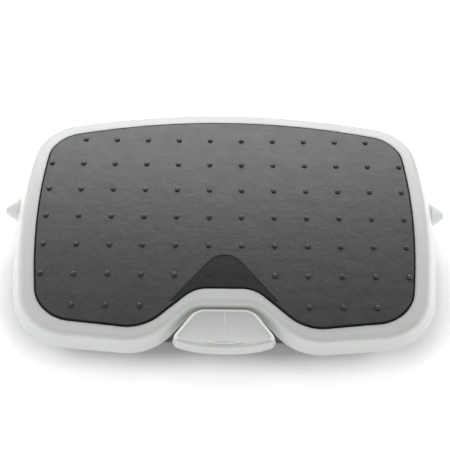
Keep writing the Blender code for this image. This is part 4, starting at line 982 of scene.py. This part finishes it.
def build_turned():
    for word in ("left", "right"):
        radius, height = upright("piston_" + word)
        inner, ease, ceiling = radius - PISTON_WALL, TUBE_EASE, height - PISTON_CROWN
        standing("piston_" + word, [
            (inner + ease, 0), (radius - ease, 0), (radius, ease), (radius, height - ease),
            (radius - ease, height), (0, height), (0, ceiling), (inner, ceiling), (inner, ease),
        ], TUBE_SIDES)
        lying("axle_" + word, rod(*level("axle_" + word), AXLE_EASE))
        for name, ease in (("friction_disc_" + word, DISC_EASE), ("axle_clip_" + word, CLIP_EASE)):
            lying(name, collar(AXLE_BORE, *level(name), ease))
        flange, length = level("axle_bush_" + word)
        inside = length - BUSH_FLANGE
        lying("axle_bush_" + word, [
            (AXLE_BORE, 0), (BUSH_RADIUS - GAP, 0), (BUSH_RADIUS, GAP), (BUSH_RADIUS, inside),
            (flange - GAP, inside), (flange, inside + GAP), (flange, length - GAP),
            (flange - GAP, length), (AXLE_BORE, length),
        ])
    standing("lock_rod", rod(*upright("lock_rod"), LOCK_ROD_EASE))
    for name in ("pedal_pin", "rod_pin", "lock_pin", "lever_pin"):
        low, _, middle = span(name)
        pin = turned(rod(*level(name), PIN_EASE), SMALL_SIDES)
        fitted(name, along_x(pin, low.x, middle.y, middle.z, 1))


def build_bevelled():
    """Pieces whose shape stays, with their sharp edges eased."""
    for name, width in BEVELS.items():
        bm = bmesh.new()
        bm.from_mesh(frame["nodes"][name].data)
        bmesh.ops.remove_doubles(bm, verts=bm.verts, dist=MERGE)
        bmesh.ops.dissolve_limit(bm, angle_limit=math.radians(1), verts=bm.verts, edges=bm.edges)
        work = placed("work", bm)
        modifier = work.modifiers.new("edges", "BEVEL")
        modifier.width = width
        modifier.segments = 2
        modifier.angle_limit = math.radians(35)
        fitted(name, applied(work), sharp=32)


def coil_mesh(radius, wire, low, high, turns, place):
    """A wound wire between two flat seats, with one near-closed turn at each end."""
    bottom, top = low + wire + GAP, high - wire - GAP
    end_rise = 2 * wire + SPRING_END_GAP
    rings = []
    for step in range(turns * SPRING_STEP + 1):
        turn = step / SPRING_STEP
        middle_share = min(1, max(0, (turn - 1) / (turns - 2)))
        rise = min(turn, 1) * end_rise + max(0, turn - turns + 1) * end_rise
        height = bottom + rise + middle_share * (top - bottom - 2 * end_rise)
        angle = 2 * math.pi * turn
        out = Vector((math.cos(angle), math.sin(angle), 0))
        centre = Vector((place.x, place.y, height)) + radius * out
        rings.append([centre + wire * (math.cos(a) * out + math.sin(a) * Vector((0, 0, 1)))
                      for a in (2 * math.pi * i / WIRE_SIDES for i in range(WIRE_SIDES))])
    return loft([[tuple(p) for p in each] for each in rings])


def build_springs():
    """Each spring is a fixed coil wound between what it stands on and what it pushes."""
    for name, radius, wire, turns, body in SPRINGS:
        low, high, middle = span(name)
        obj = placed("wound_" + name, coil_mesh(radius, wire, low.z - GAP, high.z + GAP, turns, middle))
        obj.data.materials.append(STEEL)
        obj.data.shade_smooth()
        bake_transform(obj)
        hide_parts(name)


build_tray()
build_mat()
build_pedal()
build_caps()
build_feet()
build_towers()
build_screws()
build_turned()
build_bevelled()
build_springs()

for node, obj in frame["nodes"].items():
    obj.data.materials.clear()
    obj.data.materials.append(FINISHES[SLOTS[node]])


# Stage, light and camera

FLOOR_HALF = 6
FLOOR_DEPTH = 0.02
FLOOR_WHITE = 0.86
# The floor's glow is shaped round the object: dim close by, a painted shadow, and brighter further out
GLOW_SCALE = (2.31, 4.18, 0)
GLOW = ((0.46, 0.08), (0.577, 0.34), (0.692, 0.53), (1.0, 0.60))
FAR_START, FAR_END, FAR_GLOW = 1.0, 6.0, 0.42
SKY = ((0.13, 1.0), (0.22, 0.24), (0.85, 0.08))
LAMPS = (
    ("back_softbox", (-0.12, 0.95, 0.95), (0, 0.05, 0.05), (2.2, 0.7), 15),
    ("top_softbox", (0.15, 0.75, 1.25), (0, 0, 0.05), (1.4, 0.6), 4),
    ("left_softbox", (-0.95, -0.15, 0.65), (-0.2, -0.02, 0.05), (1.2, 0.28), 3.7),
    ("right_softbox", (1.05, 0.0, 0.45), (0.2, 0, 0.05), (1.0, 0.25), 3.6),
    ("front_softbox", (-0.3, -1.7, 0.22), (0, 0, 0.05), (2.0, 0.3), 1.5),
    ("front_fill", (0.1, -1.2, 1.2), (0, 0, 0.05), (1.6, 0.5), 3.8),
)
CAMERA_PLACE = (-0.0093, SHIFT - 1.0343, 1.1815)
CAMERA_RIGHT = Vector((0.99991, 0.00467, 0.01274))
CAMERA_DOWN = Vector((0.01212, -0.72953, -0.68384))
CAMERA_FORWARD = Vector((0.0061, 0.68393, -0.72952))
CAMERA_LENS = 86.91


def floor_finish():
    """White floor: it keeps the soft shadow, and its glow is dim close to the object, a painted shadow round
    it, and rises to a clean white away from it.
    """
    made = bpy.data.materials.new("floor")
    made.use_nodes = True
    tree = made.node_tree
    tree.nodes.clear()
    out = tree.nodes.new("ShaderNodeOutputMaterial")
    diffuse = tree.nodes.new("ShaderNodeBsdfDiffuse")
    diffuse.inputs["Color"].default_value = (FLOOR_WHITE, FLOOR_WHITE, FLOOR_WHITE, 1)
    glow = tree.nodes.new("ShaderNodeEmission")
    place = stretched(tree, tree.nodes.new("ShaderNodeTexCoord").outputs["Object"], GLOW_SCALE)
    square = tree.nodes.new("ShaderNodeVectorMath")
    square.operation = "MULTIPLY"
    tree.links.new(place, square.inputs[0])
    tree.links.new(place, square.inputs[1])
    away = tree.nodes.new("ShaderNodeVectorMath")
    away.operation = "LENGTH"
    tree.links.new(square.outputs[0], away.inputs[0])
    far = tree.nodes.new("ShaderNodeMapRange")
    far.inputs["From Min"].default_value = FAR_START
    far.inputs["From Max"].default_value = FAR_END
    far.inputs["To Max"].default_value = FAR_GLOW
    tree.links.new(away.outputs["Value"], far.inputs["Value"])
    total = tree.nodes.new("ShaderNodeMath")
    tree.links.new(stepped(tree, away.outputs["Value"], GLOW), total.inputs[0])
    tree.links.new(far.outputs["Result"], total.inputs[1])
    tree.links.new(total.outputs[0], glow.inputs["Strength"])
    both = tree.nodes.new("ShaderNodeAddShader")
    tree.links.new(diffuse.outputs[0], both.inputs[0])
    tree.links.new(glow.outputs[0], both.inputs[1])
    tree.links.new(both.outputs[0], out.inputs["Surface"])
    return made


def build_floor():
    half = FLOOR_HALF
    floor = placed("floor", box((-half, -half, -FLOOR_DEPTH), (half, half, 0)))
    floor.data.materials.append(floor_finish())


def build_sky():
    """White near the horizon and dim higher up."""
    world = bpy.data.worlds.new("studio")
    bpy.context.scene.world = world
    world.use_nodes = True
    tree = world.node_tree
    tree.nodes.clear()
    out = tree.nodes.new("ShaderNodeOutputWorld")
    soft = tree.nodes.new("ShaderNodeBackground")
    soft.inputs["Strength"].default_value = 1.0
    split = tree.nodes.new("ShaderNodeSeparateXYZ")
    tree.links.new(tree.nodes.new("ShaderNodeTexCoord").outputs["Generated"], split.inputs[0])
    tree.links.new(stepped(tree, split.outputs["Z"], SKY), soft.inputs["Color"])
    tree.links.new(soft.outputs[0], out.inputs["Surface"])


def build_lamps():
    for name, place, aim, size, power in LAMPS:
        light = bpy.data.lights.new(name, "AREA")
        light.shape = "RECTANGLE"
        light.size, light.size_y = size
        light.energy = power
        obj = bpy.data.objects.new(name, light)
        obj.location = place
        obj.rotation_mode = "QUATERNION"
        obj.rotation_quaternion = (Vector(aim) - Vector(place)).to_track_quat("-Z", "Y")
        bpy.context.scene.collection.objects.link(obj)


def build_camera():
    """Solved from the perspective of the nub lattice."""
    camera = bpy.data.cameras.new("camera")
    camera.lens = CAMERA_LENS
    camera.sensor_width = 36
    camera.clip_start = 0.05
    camera.clip_end = 50
    obj = bpy.data.objects.new("camera", camera)
    turn = Matrix((CAMERA_RIGHT, -CAMERA_DOWN, -CAMERA_FORWARD)).transposed().to_quaternion()
    obj.matrix_world = Matrix.Translation(CAMERA_PLACE) @ turn.to_matrix().to_4x4()
    bpy.context.scene.collection.objects.link(obj)
    bpy.context.scene.camera = obj


build_floor()
build_sky()
build_lamps()
build_camera()
bpy.context.scene.view_settings.view_transform = "Standard"
